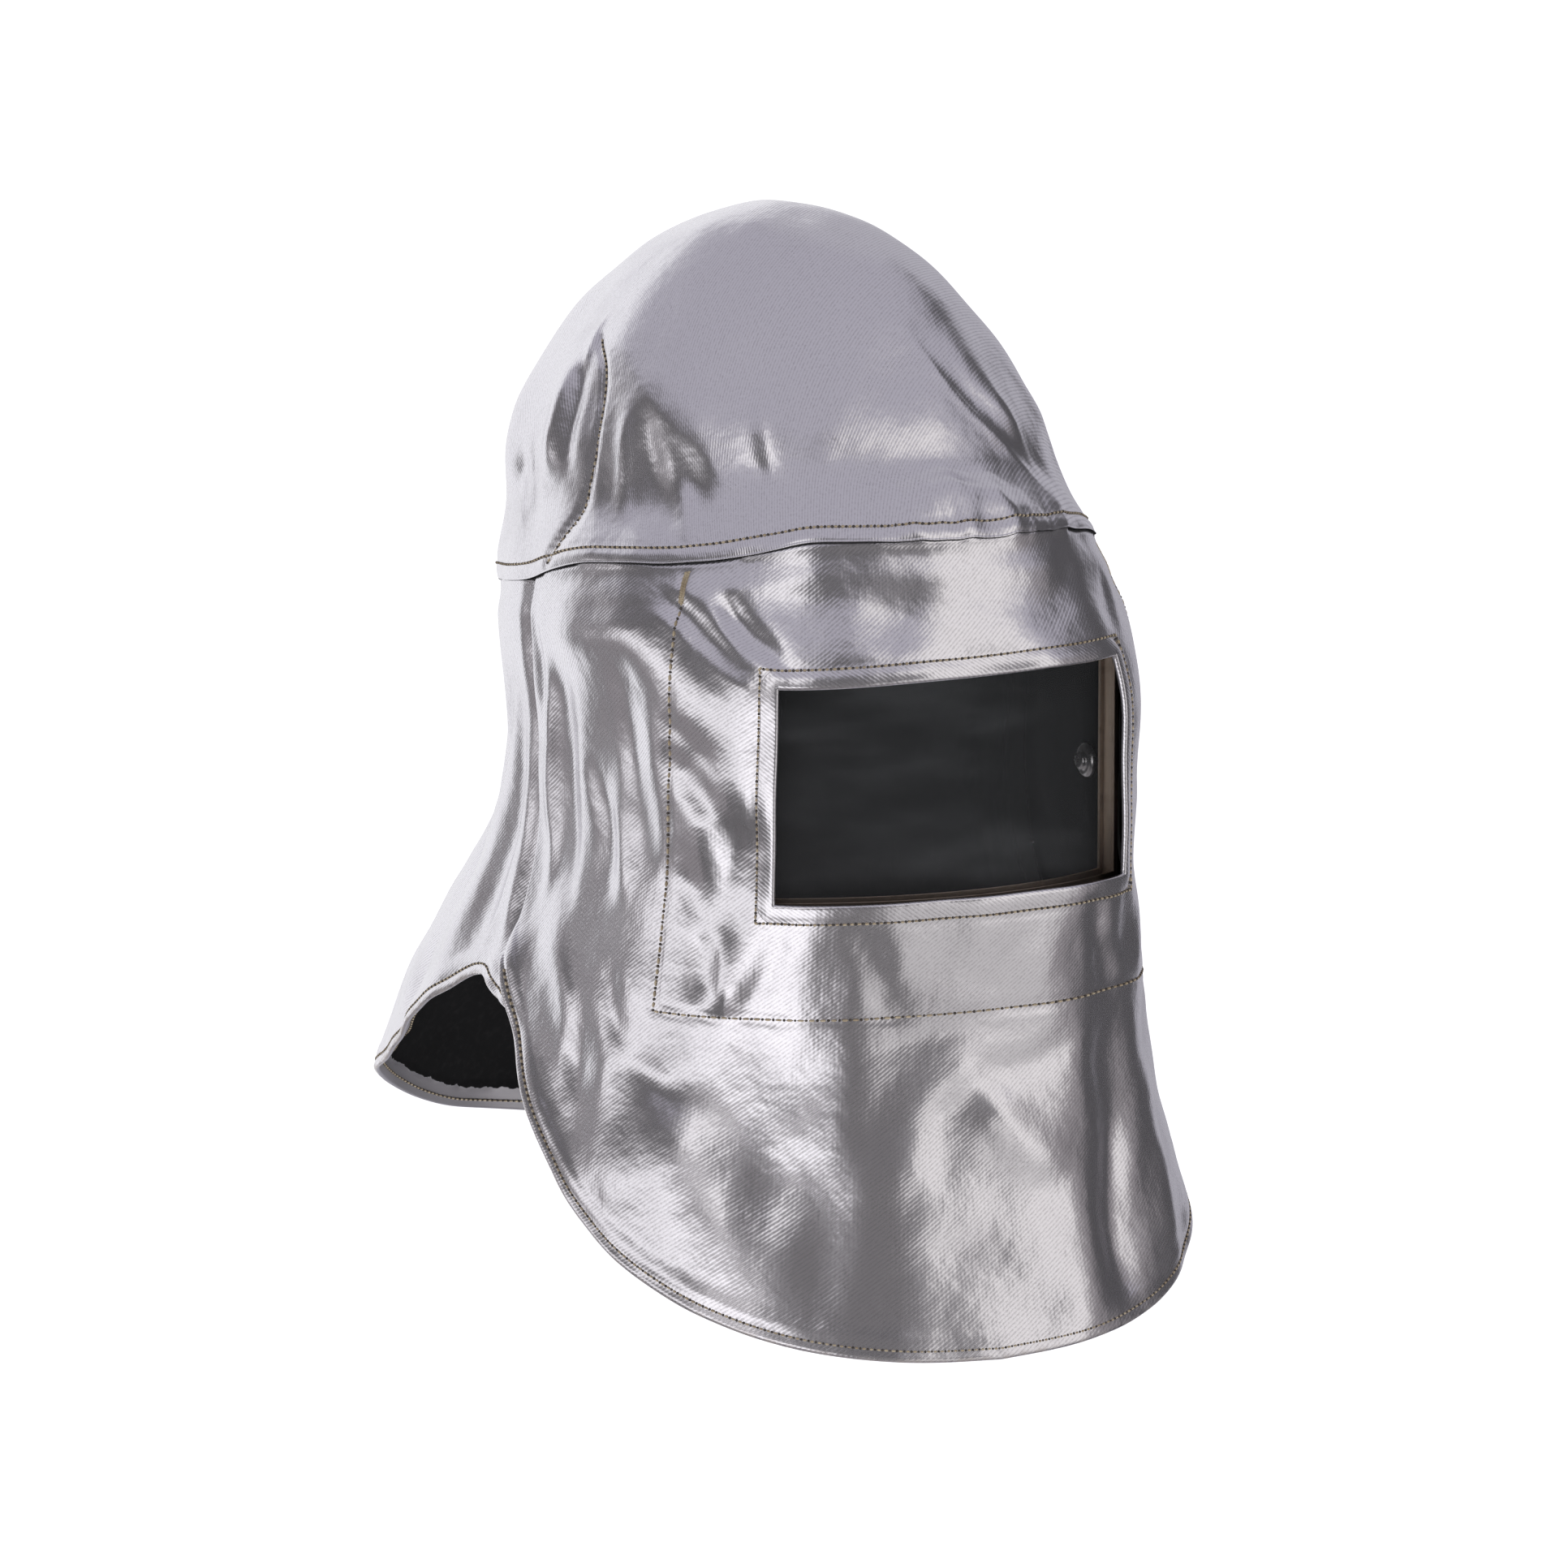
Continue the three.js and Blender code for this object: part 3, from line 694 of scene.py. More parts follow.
@dataclass(frozen=True)
class AluminisedCloth:
    """Aluminium film on twill: bright, finely ribbed, duller where handled, with painted shade in the rib
    furrows.

    Pitches and depths are in metres, as the flat map is. Distances from an edge are in mm. A scale is the
    number of blotches in a metre, a tone is a share of the dull colour, and a haze is added roughness.
    """

    bright: Colour = (0.90, 0.885, 0.925, 1)
    dull: Colour = (0.36, 0.34, 0.355, 1)
    scuffed: Colour = (0.46, 0.41, 0.38, 1)
    metallic: float = 0.95
    roughness: float = 0.18
    rib_pitch: float = 0.0014
    rib_angle: float = 38 * DEG
    rib_wobble: float = 0.0005
    tick_share: float = 0.7
    tick_slant: float = 2600.0
    rib_height: float = 0.8
    tick_height: float = 0.25
    grain_height: float = 0.5
    rib_depth: float = 0.000030
    crinkle_height: float = 0.8
    crease_height: float = 0.6
    crinkle_depth: float = 0.00048
    wobble_scale: float = 90.0
    grain_scale: float = 900.0
    handled_scale: float = 14.0
    rubbed_scale: float = 160.0
    crinkle_scale: float = 42.0
    crease_scale: float = 130.0
    handled_tone: float = 0.14
    furrow_painted_shade: float = 0.34
    speck_tone: float = 0.7
    rubbed_tone: float = 0.7
    rubbed_loss: float = 0.3
    handled_haze: float = 0.10
    furrow_haze: float = 0.05
    grain_haze: float = 0.06
    border: float = 8.0
    border_edge: float = 0.2
    rubbed_reach: float = 2.6
    rubbed_full: float = 0.2

    def build(self) -> bpy.types.Material:
        """Makes the material."""
        material, net = new_material("aluminised_twill")
        u, v, _ = net.split(net.weave_map())
        where = net.place()
        # The strip round the window is turned back, so its ribs slant the other way.
        inside, outside = self.border - self.border_edge, self.border + self.border_edge
        turned = net.attribute(WINDOW_AWAY).step(outside, inside)
        u = u * (1 - 2 * turned)
        wobble = net.noise(where, self.wobble_scale, 1.0) - 0.5
        slant, upright = math.sin(self.rib_angle), math.cos(self.rib_angle)
        across = u * slant - v * upright + wobble * self.rib_wobble
        along = u * upright + v * slant
        turns = 2 * math.pi / self.rib_pitch
        rib = (across * turns).sine() * 0.5 + 0.5
        tick = (along * (turns * self.tick_share) + across * self.tick_slant).sine() * 0.5 + 0.5
        grain = net.noise(where, self.grain_scale, 1.0)
        handled = net.noise(where, self.handled_scale, 4.0, 0.62).step(0.52, 0.78)
        rubbed = net.attribute(HEM_AWAY).step(self.rubbed_reach, self.rubbed_full)
        rubbed = rubbed * net.noise(where, self.rubbed_scale, 3.0).step(0.35, 0.65)
        crinkle = net.noise(where, self.crinkle_scale, 3.0, 0.5) * self.crinkle_height
        crinkle = crinkle + net.noise(where, self.crease_scale, 2.0, 0.5) * self.crease_height
        fine = net.bump(rib * self.rib_height + tick * self.tick_height + grain * self.grain_height,
                        self.rib_depth)
        speck = (grain - 0.5) * self.speck_tone
        # Painted shade: the furrows between the ribs are painted towards the dull colour, as their shading;
        # handling and specks dull it too.
        furrow = 1 - rib
        dulled_and_shaded = handled * self.handled_tone + furrow * furrow * self.furrow_painted_shade + speck
        tone = net.mix(dulled_and_shaded.step(0.0, 1.0), self.bright, self.dull)
        principled(net, {
            "Base Color": net.mix(rubbed * self.rubbed_tone, tone, self.scuffed),
            "Metallic": self.metallic - rubbed * self.rubbed_loss,
            "Roughness": (self.roughness + handled * self.handled_haze + furrow * self.furrow_haze
                          + grain * self.grain_haze),
            "Normal": net.bump(crinkle, self.crinkle_depth, fine),
        })
        return material


@dataclass(frozen=True)
class BlackReverse:
    """Black woven back of the cloth, with the silver of the turned hem along its edge."""

    black: Colour = (0.0085, 0.0085, 0.009, 1)
    lint: Colour = (0.0135, 0.013, 0.0135, 1)
    silver: Colour = (0.60, 0.59, 0.63, 1)
    roughness: float = 0.9
    fluff_haze: float = 0.08
    sheen: float = 0.12
    thread_pitch: float = 0.0011
    thread_height: float = 0.7
    fluff_height: float = 0.3
    weave_depth: float = 0.000008
    fluff_scale: float = 320.0
    hem: float = 10.2
    hem_edge: float = 0.25
    ragged: float = 5.0
    ragged_scale: float = 140.0
    silver_metallic: float = 0.85
    silver_polish: float = 0.5

    def build(self, hemmed: bool) -> bpy.types.Material:
        """Makes the material.

        Args:
            hemmed: whether a turned hem shows its silver side along the edge.

        Returns:
            The material.
        """
        material, net = new_material("black_reverse_hemmed" if hemmed else "black_lining")
        where = net.place()
        u, v, _ = net.split(net.weave_map())
        turns = 2 * math.pi / self.thread_pitch
        weave = (u * turns).sine() * (v * turns).sine() * 0.5 + 0.5
        fluff = net.noise(where, self.fluff_scale, 4.0)
        tone = net.mix(fluff.step(0.45, 0.8), self.black, self.lint)
        values: dict[object, object] = {
            "Base Color": tone,
            "Roughness": self.roughness + fluff * self.fluff_haze,
            "Specular IOR Level": self.sheen,
            "Normal": net.bump(weave * self.thread_height + fluff * self.fluff_height, self.weave_depth),
        }
        if hemmed:
            uneven = (net.noise(where, self.ragged_scale, 3.0) - 0.5) * self.ragged
            away = net.attribute(HEM_AWAY) + uneven
            shown = away.step(self.hem + self.hem_edge, self.hem - self.hem_edge)
            values["Base Color"] = net.mix(shown, tone, self.silver)
            values["Metallic"] = shown * self.silver_metallic
            values["Roughness"] = self.roughness - shown * self.silver_polish
        principled(net, values)
        return material


@dataclass(frozen=True)
class SewingThread:
    """Tan sewing thread, soiled in places."""

    light: Colour = (0.52, 0.44, 0.31, 1)
    dark: Colour = (0.33, 0.26, 0.17, 1)
    roughness: float = 0.7
    twist_haze: float = 0.2
    twist_depth: float = 0.00012
    twist_scale: float = 2600.0
    soiled_scale: float = 60.0

    def build(self) -> bpy.types.Material:
        """Makes the material."""
        material, net = new_material("tan_thread")
        where = net.place()
        soiled = net.noise(where, self.soiled_scale, 3.0).step(0.35, 0.7)
        twist = net.noise(where, self.twist_scale, 1.0)
        principled(net, {
            "Base Color": net.mix(soiled, self.light, self.dark),
            "Roughness": self.roughness + twist * self.twist_haze,
            "Normal": net.bump(twist, self.twist_depth),
        })
        return material


@dataclass(frozen=True)
class NeedleHole:
    """Dark blob where the thread goes into the cloth: painted shade of the needle pit, mottled lighter in
    places.
    """

    dark: Colour = (0.062, 0.052, 0.044, 1)
    lighter_pit_shade: Colour = (0.125, 0.108, 0.092, 1)
    roughness: float = 0.85
    pit_mottle_haze: float = 0.1
    pit_mottle_scale: float = 700.0

    def build(self) -> bpy.types.Material:
        """Makes the material."""
        material, net = new_material("needle_hole")
        pit_mottle = net.noise(net.place(), self.pit_mottle_scale, 2.0)
        # Painted shade: the pit is a dark colour, mottled by noise towards a lighter shade.
        tone = net.mix(pit_mottle.step(0.4, 0.75), self.dark, self.lighter_pit_shade)
        principled(net, {"Base Color": tone, "Roughness": self.roughness + pit_mottle * self.pit_mottle_haze})
        return material


@dataclass(frozen=True)
class Metal:
    """Bare metal with fine brushing and a few dull spots."""

    name: str
    colour: Colour
    spots: Colour
    roughness: float
    metallic: float = 0.95
    spot_loss: float = 0.3
    spot_haze: float = 0.12
    spot_scale: float = 55.0
    brush_haze: float = 0.16
    brush_depth: float = 0.00003
    brush_scale: tuple[float, float, float] = (30.0, 30.0, 900.0)

    def build(self) -> bpy.types.Material:
        """Makes the material."""
        material, net = new_material(self.name)
        brushed = net.noise(net.stretched(self.brush_scale), 1.0, 3.0)
        spotted = net.noise(net.place(), self.spot_scale, 4.0).step(0.52, 0.72)
        principled(net, {
            "Base Color": net.mix(spotted, self.colour, self.spots),
            "Metallic": self.metallic - spotted * self.spot_loss,
            "Roughness": self.roughness + brushed * self.brush_haze + spotted * self.spot_haze,
            "Normal": net.bump(brushed, self.brush_depth),
        })
        return material


@dataclass(frozen=True)
class ClearPane:
    """Clear pane with a faint grey tint and wipe marks."""

    tint: Colour = (0.78, 0.81, 0.84, 1)
    cover: float = 0.014
    wiped_cover: float = 0.02
    roughness: float = 0.04
    wiped_haze: float = 0.06
    wiped_scale: tuple[float, float, float] = (9.0, 9.0, 34.0)
    wiped_turn: float = 0.5
    gloss: float = 0.14

    def build(self) -> bpy.types.Material:
        """Makes the material."""
        material, net = new_material("clear_pane")
        wiped = net.noise(net.stretched(self.wiped_scale, self.wiped_turn), 1.0, 4.0).step(0.45, 0.75)
        principled(net, {
            "Base Color": self.tint,
            "Roughness": self.roughness + wiped * self.wiped_haze,
            "Specular IOR Level": self.gloss,
            "Alpha": self.cover + wiped * self.wiped_cover,
        })
        return material


@dataclass
class Finishes:
    """The materials that the pieces share."""

    cloth: bpy.types.Material = field(default_factory=lambda: AluminisedCloth().build())
    reverse: bpy.types.Material = field(default_factory=lambda: BlackReverse().build(True))
    lining: bpy.types.Material = field(default_factory=lambda: BlackReverse().build(False))
    thread: bpy.types.Material = field(default_factory=lambda: SewingThread().build())
    hole: bpy.types.Material = field(default_factory=lambda: NeedleHole().build())
    rim: bpy.types.Material = field(default_factory=lambda: Metal(
        "visor_rim_metal", (0.33, 0.27, 0.22, 1), (0.18, 0.14, 0.11, 1), 0.30).build())
    stud: bpy.types.Material = field(default_factory=lambda: Metal(
        "plated_stud", (0.62, 0.62, 0.63, 1), (0.40, 0.38, 0.36, 1), 0.20).build())
    pane: bpy.types.Material = field(default_factory=lambda: ClearPane().build())


@dataclass
class MeshData:
    """Points in mm, faces by corner numbers, and what is stored on the points and faces."""

    points: Array
    faces: list[Array]
    sides: list[int]
    flat: Array | None = None
    numbers: dict[str, Array] = field(default_factory=dict)

    def build(self, name: str, materials: Sequence[bpy.types.Material],
              sharp: float = 0.0) -> bpy.types.Object:
        """Makes the object.

        Args:
            name: the piece's name.
            materials: one for each side number.
            sharp: angle in degrees above which an edge stays sharp, 0 for none.

        Returns:
            The object, at the origin.
        """
        mesh = bpy.data.meshes.new(name)
        corners = np.concatenate([block.ravel() for block in self.faces]).astype(np.int32)
        sizes = np.concatenate([np.full(len(block), block.shape[1]) for block in self.faces])
        starts = np.concatenate([[0], np.cumsum(sizes)[:-1]]).astype(np.int32)
        side = np.concatenate([np.full(len(block), k) for block, k in zip(self.faces, self.sides)])
        mesh.vertices.add(len(self.points))
        mesh.vertices.foreach_set("co", (self.points * MM).astype(np.float32).ravel())
        mesh.loops.add(len(corners))
        mesh.loops.foreach_set("vertex_index", corners)
        mesh.polygons.add(len(sizes))
        mesh.polygons.foreach_set("loop_start", starts)
        mesh.polygons.foreach_set("material_index", side.astype(np.int32))
        mesh.update(calc_edges=True)
        mesh.validate()
        mesh.polygons.foreach_set("use_smooth", np.ones(len(mesh.polygons), bool))
        if self.flat is not None:
            layer = mesh.uv_layers.new(name=WEAVE)
            layer.data.foreach_set("uv", (self.flat[corners] * MM).astype(np.float32).ravel())
        for key, values in self.numbers.items():
            stored = mesh.attributes.new(key, "FLOAT", "POINT")
            stored.data.foreach_set("value", values.astype(np.float32).ravel())
        for material in materials:
            mesh.materials.append(material)
        if sharp:
            mesh.set_sharp_from_angle(angle=sharp * DEG)
        made = bpy.data.objects.new(name, mesh)
        bpy.context.scene.collection.objects.link(made)
        return made


def shell(outer: Array, inner: Array, keep: Array | None = None, closed: bool = False,
          pole: tuple[Array, Array] | None = None) -> tuple[Array, list[Array], list[int], Array]:
    """A closed sheet from an outer and an inner grid of points, with its rims.

    Args:
        outer: points by row, going down, and column, going round to the wearer's left.
        inner: points of the inner face.
        keep: which cells are there; all by default.
        closed: whether the last column joins the first.
        pole: outer and inner point that close the first row.

    Returns:
        Points, faces, the side number of each block of faces, and the grid number of each point.
    """
    rows, columns = outer.shape[:2]
    wide = columns if closed else columns - 1
    keep = np.ones((rows - 1, wide), bool) if keep is None else keep
    number = np.arange(rows * columns).reshape(rows, columns)
    count = rows * columns
    right = (np.arange(wide) + 1) % columns
    left = np.arange(wide)
    a, b = number[:-1][:, left], number[1:][:, left]
    c, d = number[1:][:, right], number[:-1][:, right]
    front = np.stack([a, b, c, d], -1)[keep]
    back = np.stack([a, d, c, b], -1)[keep] + count
    rims = []
    # A rim stands wherever a kept cell has no kept neighbour: above, below, left and right of it.
    padded = np.pad(keep, ((1, 1), (0, 0)))
    top_open = keep & ~padded[:-2]
    low_open = keep & ~padded[2:]
    if pole is not None:
        top_open[0] = False
    rims.append(np.stack([a, d, d + count, a + count], -1)[top_open])
    rims.append(np.stack([c, b, b + count, c + count], -1)[low_open])
    if closed:
        left_open = keep & ~np.roll(keep, 1, axis=1)
        right_open = keep & ~np.roll(keep, -1, axis=1)
    else:
        beside = np.pad(keep, ((0, 0), (1, 1)))
        left_open = keep & ~beside[:, :-2]
        right_open = keep & ~beside[:, 2:]
    rims.append(np.stack([b, a, a + count, b + count], -1)[left_open])
    rims.append(np.stack([d, c, c + count, d + count], -1)[right_open])
    faces, sides = [front, back, np.concatenate(rims)], [0, 1, 0]
    points = np.concatenate([outer.reshape(-1, 3), inner.reshape(-1, 3)])
    grid = np.concatenate([number.ravel(), number.ravel()])
    if pole is not None:
        tip = 2 * count
        first, last = number[0][left], number[0][right]
        faces += [np.stack([np.full(wide, tip), first, last], -1),
                  np.stack([np.full(wide, tip + 1), last + count, first + count], -1)]
        sides += [0, 1]
        points = np.concatenate([points, np.array(pole)])
        grid = np.concatenate([grid, [0, 0]])
    used = np.unique(np.concatenate([block.ravel() for block in faces]))
    fresh = np.full(len(points), -1)
    fresh[used] = np.arange(len(used))
    return points[used], [fresh[block] for block in faces], sides, grid[used]


def spaced(length: float, step: float, start: bool, end: bool) -> Array:
    """Shares from 0 to 1 along a length in mm, crowded at the ends that are rolled over.

    Args:
        length: the length.
        step: the usual distance between places.
        start: whether the start is a rolled edge.
        end: whether the end is one.

    Returns:
        The shares.
    """
    first = EDGE_ROWS if start else np.array([])
    last = length - EDGE_ROWS[::-1] if end else np.array([])
    low = EDGE_ROWS[-1] if start else 0.0
    high = length - EDGE_ROWS[-1] if end else length
    middle = np.linspace(low, high, max(2, round((high - low) / step) + 1))
    places = np.concatenate([[0.0], first, middle, last, [length]])
    return np.unique(np.round(places, 6)) / length


def rolled(away: Array, wall: Array) -> Array:
    """Share of the wall that is left near a rolled edge, as on a half round."""
    t = np.clip(away / (0.5 * wall), 0, 1)
    return np.maximum(np.sqrt(np.maximum(1 - (1 - t) ** 2, 0)), EDGE_LEAST)


def groove(away: Array, depth: float, width: float) -> Array:
    """Depth of the channel that a row of stitches pulls into the cloth."""
    return -depth * np.exp(-((away / width) ** 2))


def layers(surface: Array, normal: Array, wall: Array, away: Array) -> tuple[Array, Array]:
    """Outer and inner face of a cloth wall whose edges are rolled.

    Args:
        surface: points of the cloth's outer face.
        normal: outward normals there.
        wall: the cloth's thickness.
        away: distance from the nearest free edge.

    Returns:
        The two grids of points.
    """
    middle = wall / 2
    half = middle * rolled(away, wall)
    return surface - normal * (middle - half)[..., None], surface - normal * (middle + half)[..., None]


def dress(piece: bpy.types.Object, slot: str | None, *nodes: str) -> bpy.types.Object:
    """Puts a finished piece on the hood's body and hides the nodes it stands for."""
    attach(piece, BODY)
    if nodes:
        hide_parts(*nodes)
    LOG.info("%s: %d faces", piece.name, len(piece.data.polygons))
    return piece


@dataclass
class StitchRun:
    """A row of stitches: points on the cloth in mm, the cloth's normals there, and whether it closes."""

    points: Array
    normals: Array
    closed: bool = False


@dataclass
class Stitching:
    """Rows of stitches laid along seams by a Geometry Nodes tree."""

    pitch: float = 3.1
    share: float = 0.66
    radius: float = 0.50
    hole: float = 1.35
    hole_width: float = 1.25
    segments: int = 6
    rings: int = 4
    least: tuple[float, float, float] = (0.82, 0.85, 0.8)
    most: tuple[float, float, float] = (1.1, 1.15, 1.15)
    seed: int = 5

    def tree(self, name: str, thread: bpy.types.Material,
             hole: bpy.types.Material | None) -> bpy.types.GeometryNodeTree:
        """The tree that lays one stitch at each pitch along the edges of a mesh.

        Args:
            name: the tree's name.
            thread: the thread's material.
            hole: material of the needle holes between the stitches, a painted shade, if they show.

        Returns:
            The tree, with the inputs Pitch, Length, Hole and Radius in metres.
        """
        tree = bpy.data.node_groups.new(name, "GeometryNodeTree")
        face = tree.interface
        face.new_socket("Rows", in_out="INPUT", socket_type="NodeSocketGeometry")
        for size in ("Pitch", "Length", "Hole", "Radius"):
            face.new_socket(size, in_out="INPUT", socket_type="NodeSocketFloat")
        face.new_socket("Stitches", in_out="OUTPUT", socket_type="NodeSocketGeometry")
        net = NodeNet(tree)
        given = net.add("NodeGroupInput", {}, {})
        rows, pitch, length, hole_length, radius = (Wire(net, given.socket.node.outputs[k]) for k in range(5))
        line = net.add("GeometryNodeMeshToCurve", {}, {"Mesh": rows})
        # Stitches and holes take turns, so the places are half a pitch apart.
        line = net.add("GeometryNodeResampleCurve", {"mode": "LENGTH"},
                       {"Curve": line, "Length": pitch * 0.5})
        number = net.add("GeometryNodeInputIndex", {}, {})
        odd = number.maths("MODULO", number, 2.0)
        tangent = net.add("GeometryNodeInputTangent", {}, {})
        upward = net.add("GeometryNodeInputNamedAttribute", {"data_type": "FLOAT_VECTOR"}, {"Name": "up"})
        turn = net.add("FunctionNodeAlignRotationToVector", {"axis": "X"}, {"Vector": tangent})
        turn = net.add("FunctionNodeAlignRotationToVector", {"axis": "Z", "pivot_axis": "X"},
                       {"Rotation": turn, "Vector": upward})
        vary = net.add("FunctionNodeRandomValue", {"data_type": "FLOAT_VECTOR"},
                       {0: self.least, 1: self.most, "Seed": self.seed})
        kinds = [(thread, 1 - odd, (length * 0.5, radius, radius))]
        # The needle holes are dark blobs between the stitches: painted shade of the pits.
        if hole is not None:
            kinds.append((hole, odd, (hole_length * 0.5, radius * self.hole_width, radius)))
        laid = []
        for material, chosen, sizes in kinds:
            ball = net.add("GeometryNodeMeshUVSphere", {},
                           {"Segments": self.segments, "Rings": self.rings, "Radius": 1.0})
            scale = net.add("ShaderNodeCombineXYZ", {}, dict(enumerate(sizes)))
            ball = net.add("GeometryNodeTransform", {}, {"Geometry": ball, "Scale": scale})
            ball = net.add("GeometryNodeSetShadeSmooth", {}, {"Geometry": ball})
            placed = net.add("GeometryNodeInstanceOnPoints", {}, {
                "Points": line, "Selection": chosen, "Instance": ball, "Rotation": turn, "Scale": vary})
            placed = net.add("GeometryNodeRealizeInstances", {}, {"Geometry": placed})
            laid.append(net.add("GeometryNodeSetMaterial", {}, {"Geometry": placed, "Material": material}))
        joined = net.add("GeometryNodeJoinGeometry", {}, {"Geometry": laid})
        net.add("NodeGroupOutput", {}, {0: joined})
        return tree

    def build(self, name: str, runs: Sequence[StitchRun], tree: bpy.types.GeometryNodeTree,
              pitch: float | None = None, share: float | None = None) -> bpy.types.Object:
        """Lays the stitches and turns them into a plain mesh.

        Args:
            name: the piece's name.
            runs: the rows.
            tree: the tree that lays them.
            pitch: distance between stitches in mm, the usual one by default.
            share: length of a stitch as a share of the pitch, the usual one by default.

        Returns:
            The piece.
        """
        points, edges, ups = [], [], []
        for run in runs:
            base = len(points)
            count = len(run.points)
            points += [tuple(p) for p in run.points * MM]
            ups.append(run.normals)
            edges += [(base + k, base + k + 1) for k in range(count - 1)]
            if run.closed:
                edges.append((base + count - 1, base))
        mesh = bpy.data.meshes.new(name + "_rows")
        mesh.from_pydata(points, edges, [])
        stored = mesh.attributes.new("up", "FLOAT_VECTOR", "POINT")
        stored.data.foreach_set("vector", np.concatenate(ups).astype(np.float32).ravel())
        rows = bpy.data.objects.new(name + "_rows", mesh)
        bpy.context.scene.collection.objects.link(rows)
        layer = rows.modifiers.new("stitches", "NODES")
        layer.node_group = tree
        pitch = pitch or self.pitch
        sizes = {"Pitch": pitch, "Length": pitch * (share or self.share),
                 "Hole": self.hole, "Radius": self.radius}
        for item in tree.interface.items_tree:
            if item.name in sizes and item.in_out == "INPUT":
                layer[item.identifier] = float(sizes[item.name] * MM)
        ready = rows.evaluated_get(bpy.context.evaluated_depsgraph_get())
        plain = bpy.data.meshes.new_from_object(ready)
        plain.name = name
        piece = bpy.data.objects.new(name, plain)
        bpy.context.scene.collection.objects.link(piece)
        bpy.data.objects.remove(rows)
        bpy.data.meshes.remove(mesh)
        return piece


@dataclass
class Crown:
    """The dome of the hood: one piece of cloth with a dart at each side, lapping over the panels below."""

    columns: int = 372
    row_step: float = 1.9
    meridian: float = 192.0
    pole_level: float = 0.012
    stitch_up: float = 4.2
    stitch_pitch: float = 3.0
    stitch_lift: float = 0.36
    stitch_depth: float = 0.45
    stitch_width: float = 1.3
    lip_puff: float = 0.3
    lip_width: float = 2.0
    lip_tuck: float = 0.8
    lip_places: int = 400
    dart_depth: float = 1.5
    dart_width: float = 1.7
    dart_steps: int = 60
    dart_places: int = 80
    dart_near_angle: float = 0.12
    dart_near_drop: float = 9.0
    # The dart's line on the wearer's right: angle and drop.
    dart: tuple[tuple[float, float], ...] = (
        (-79.5, 53), (-72.5, 63), (-70.3, 78), (-70.5, 95),
        (-71.8, 107), (-74, 120), (-80, 133), (-86, 144.5))
    flat: tuple[float, float] = (0.46, 0.44)
    area: float = 0.115

    def dart_path(self, side: float, count: int) -> tuple[Array, Array]:
        """Angles and drops along a dart; side is 1 on the wearer's right and -1 on the left."""
        rows = np.array(self.dart)
        step = np.hypot(np.diff(rows[:, 0]) * FORM.arc_radius * DEG, np.diff(rows[:, 1]))
        run = np.concatenate([[0], np.cumsum(step)])
        line = Curve(np.column_stack([run, rows]))
        at = np.linspace(0, run[-1], count)
        return line.at(at, 1) * DEG * side, line.at(at, 2)

    def dart_groove(self, angle: Array, drop: Array, ring: Array) -> Array:
        """Depth of the two darts' sewn channels."""
        total = np.zeros(drop.shape)
        for side in (1.0, -1.0):
            way, fall = self.dart_path(side, self.dart_steps)
            for k in range(len(way) - 1):
                near = np.abs(angle - way[k]) < self.dart_near_angle
                near &= np.abs(drop - fall[k]) < self.dart_near_drop
                if not near.any():
                    continue
                size = FORM.arc_radius * np.maximum(ring[near], FORM.least_ring)
                px, py = (angle[near] - way[k]) * size, drop[near] - fall[k]
                dx, dy = (way[k + 1] - way[k]) * size, fall[k + 1] - fall[k]
                share = np.clip((px * dx + py * dy) / (dx**2 + dy**2), 0, 1)
                away = np.hypot(px - share * dx, py - share * dy)
                total[near] = np.minimum(total[near], groove(away, self.dart_depth, self.dart_width))
        return total

    def lip(self, away: Array) -> Array:
        """Height of the rolled lip and of its sewn channel, by the distance up from the lip."""
        puff = self.lip_puff * np.exp(-(((away - self.lip_width) / self.lip_width) ** 2))
        tuck = -self.lip_tuck * np.exp(-((away / self.lip_width) ** 2))
        return puff + tuck + groove(away - self.stitch_up, self.stitch_depth, self.stitch_width)

    def outer(self, angle: Array, level: Array) -> tuple[Array, Array]:
        """Outer face of the crown and its normals."""
        points, normal = FORM.surface(angle, level)
        _, drop, ring = FORM.plain(angle, level)
        away = (1 - level) * self.meridian
        turn = signed_degrees(angle) * DEG
        height = self.lip(away) + self.dart_groove(turn, drop, ring)
        return points + normal * height[..., None], normal

    def build(self, finishes: Finishes) -> bpy.types.Object:
        """Makes the crown's cloth."""
        levels = spaced(self.meridian, self.row_step, False, True)
        levels = levels[levels > self.pole_level]
        angles = np.arange(self.columns) * (2 * math.pi / self.columns) - math.pi
        level, angle = np.meshgrid(levels, angles, indexing="ij")
        points, normal = self.outer(angle, level)
        away = (1 - level) * self.meridian
        wall = np.full(level.shape, FORM.cloth)
        outside, inside = layers(points, normal, wall, away)
        # The pole rises by as much as the first ring does over the plain form.
        rise = outside[0, :, 2].mean() - FORM.plain(angle[:1], level[:1])[0][..., 2].mean()
        top = np.array([0.0, FORM.pole_back, FORM.top_rise + rise])
        pole = (top, top - np.array([0.0, 0.0, FORM.cloth]))
        spots, faces, sides, grid = shell(outside, inside, closed=True, pole=pole)
        reach = level * self.meridian
        flat = np.stack([reach * np.sin(angle), -reach * np.cos(angle)], -1).reshape(-1, 2)[grid]
        far = np.full(len(grid), FAR)
        made = MeshData(spots, faces, sides, flat, {HEM_AWAY: far, WINDOW_AWAY: far})
        return made.build("crown_cloth", (finishes.cloth, finishes.reverse))

    def row(self, angle: Array, level: Array, closed: bool) -> StitchRun:
        """A row of stitches through places on the crown."""
        points, normal = self.outer(angle, level)
        return StitchRun(points + normal * self.stitch_lift, normal, closed)

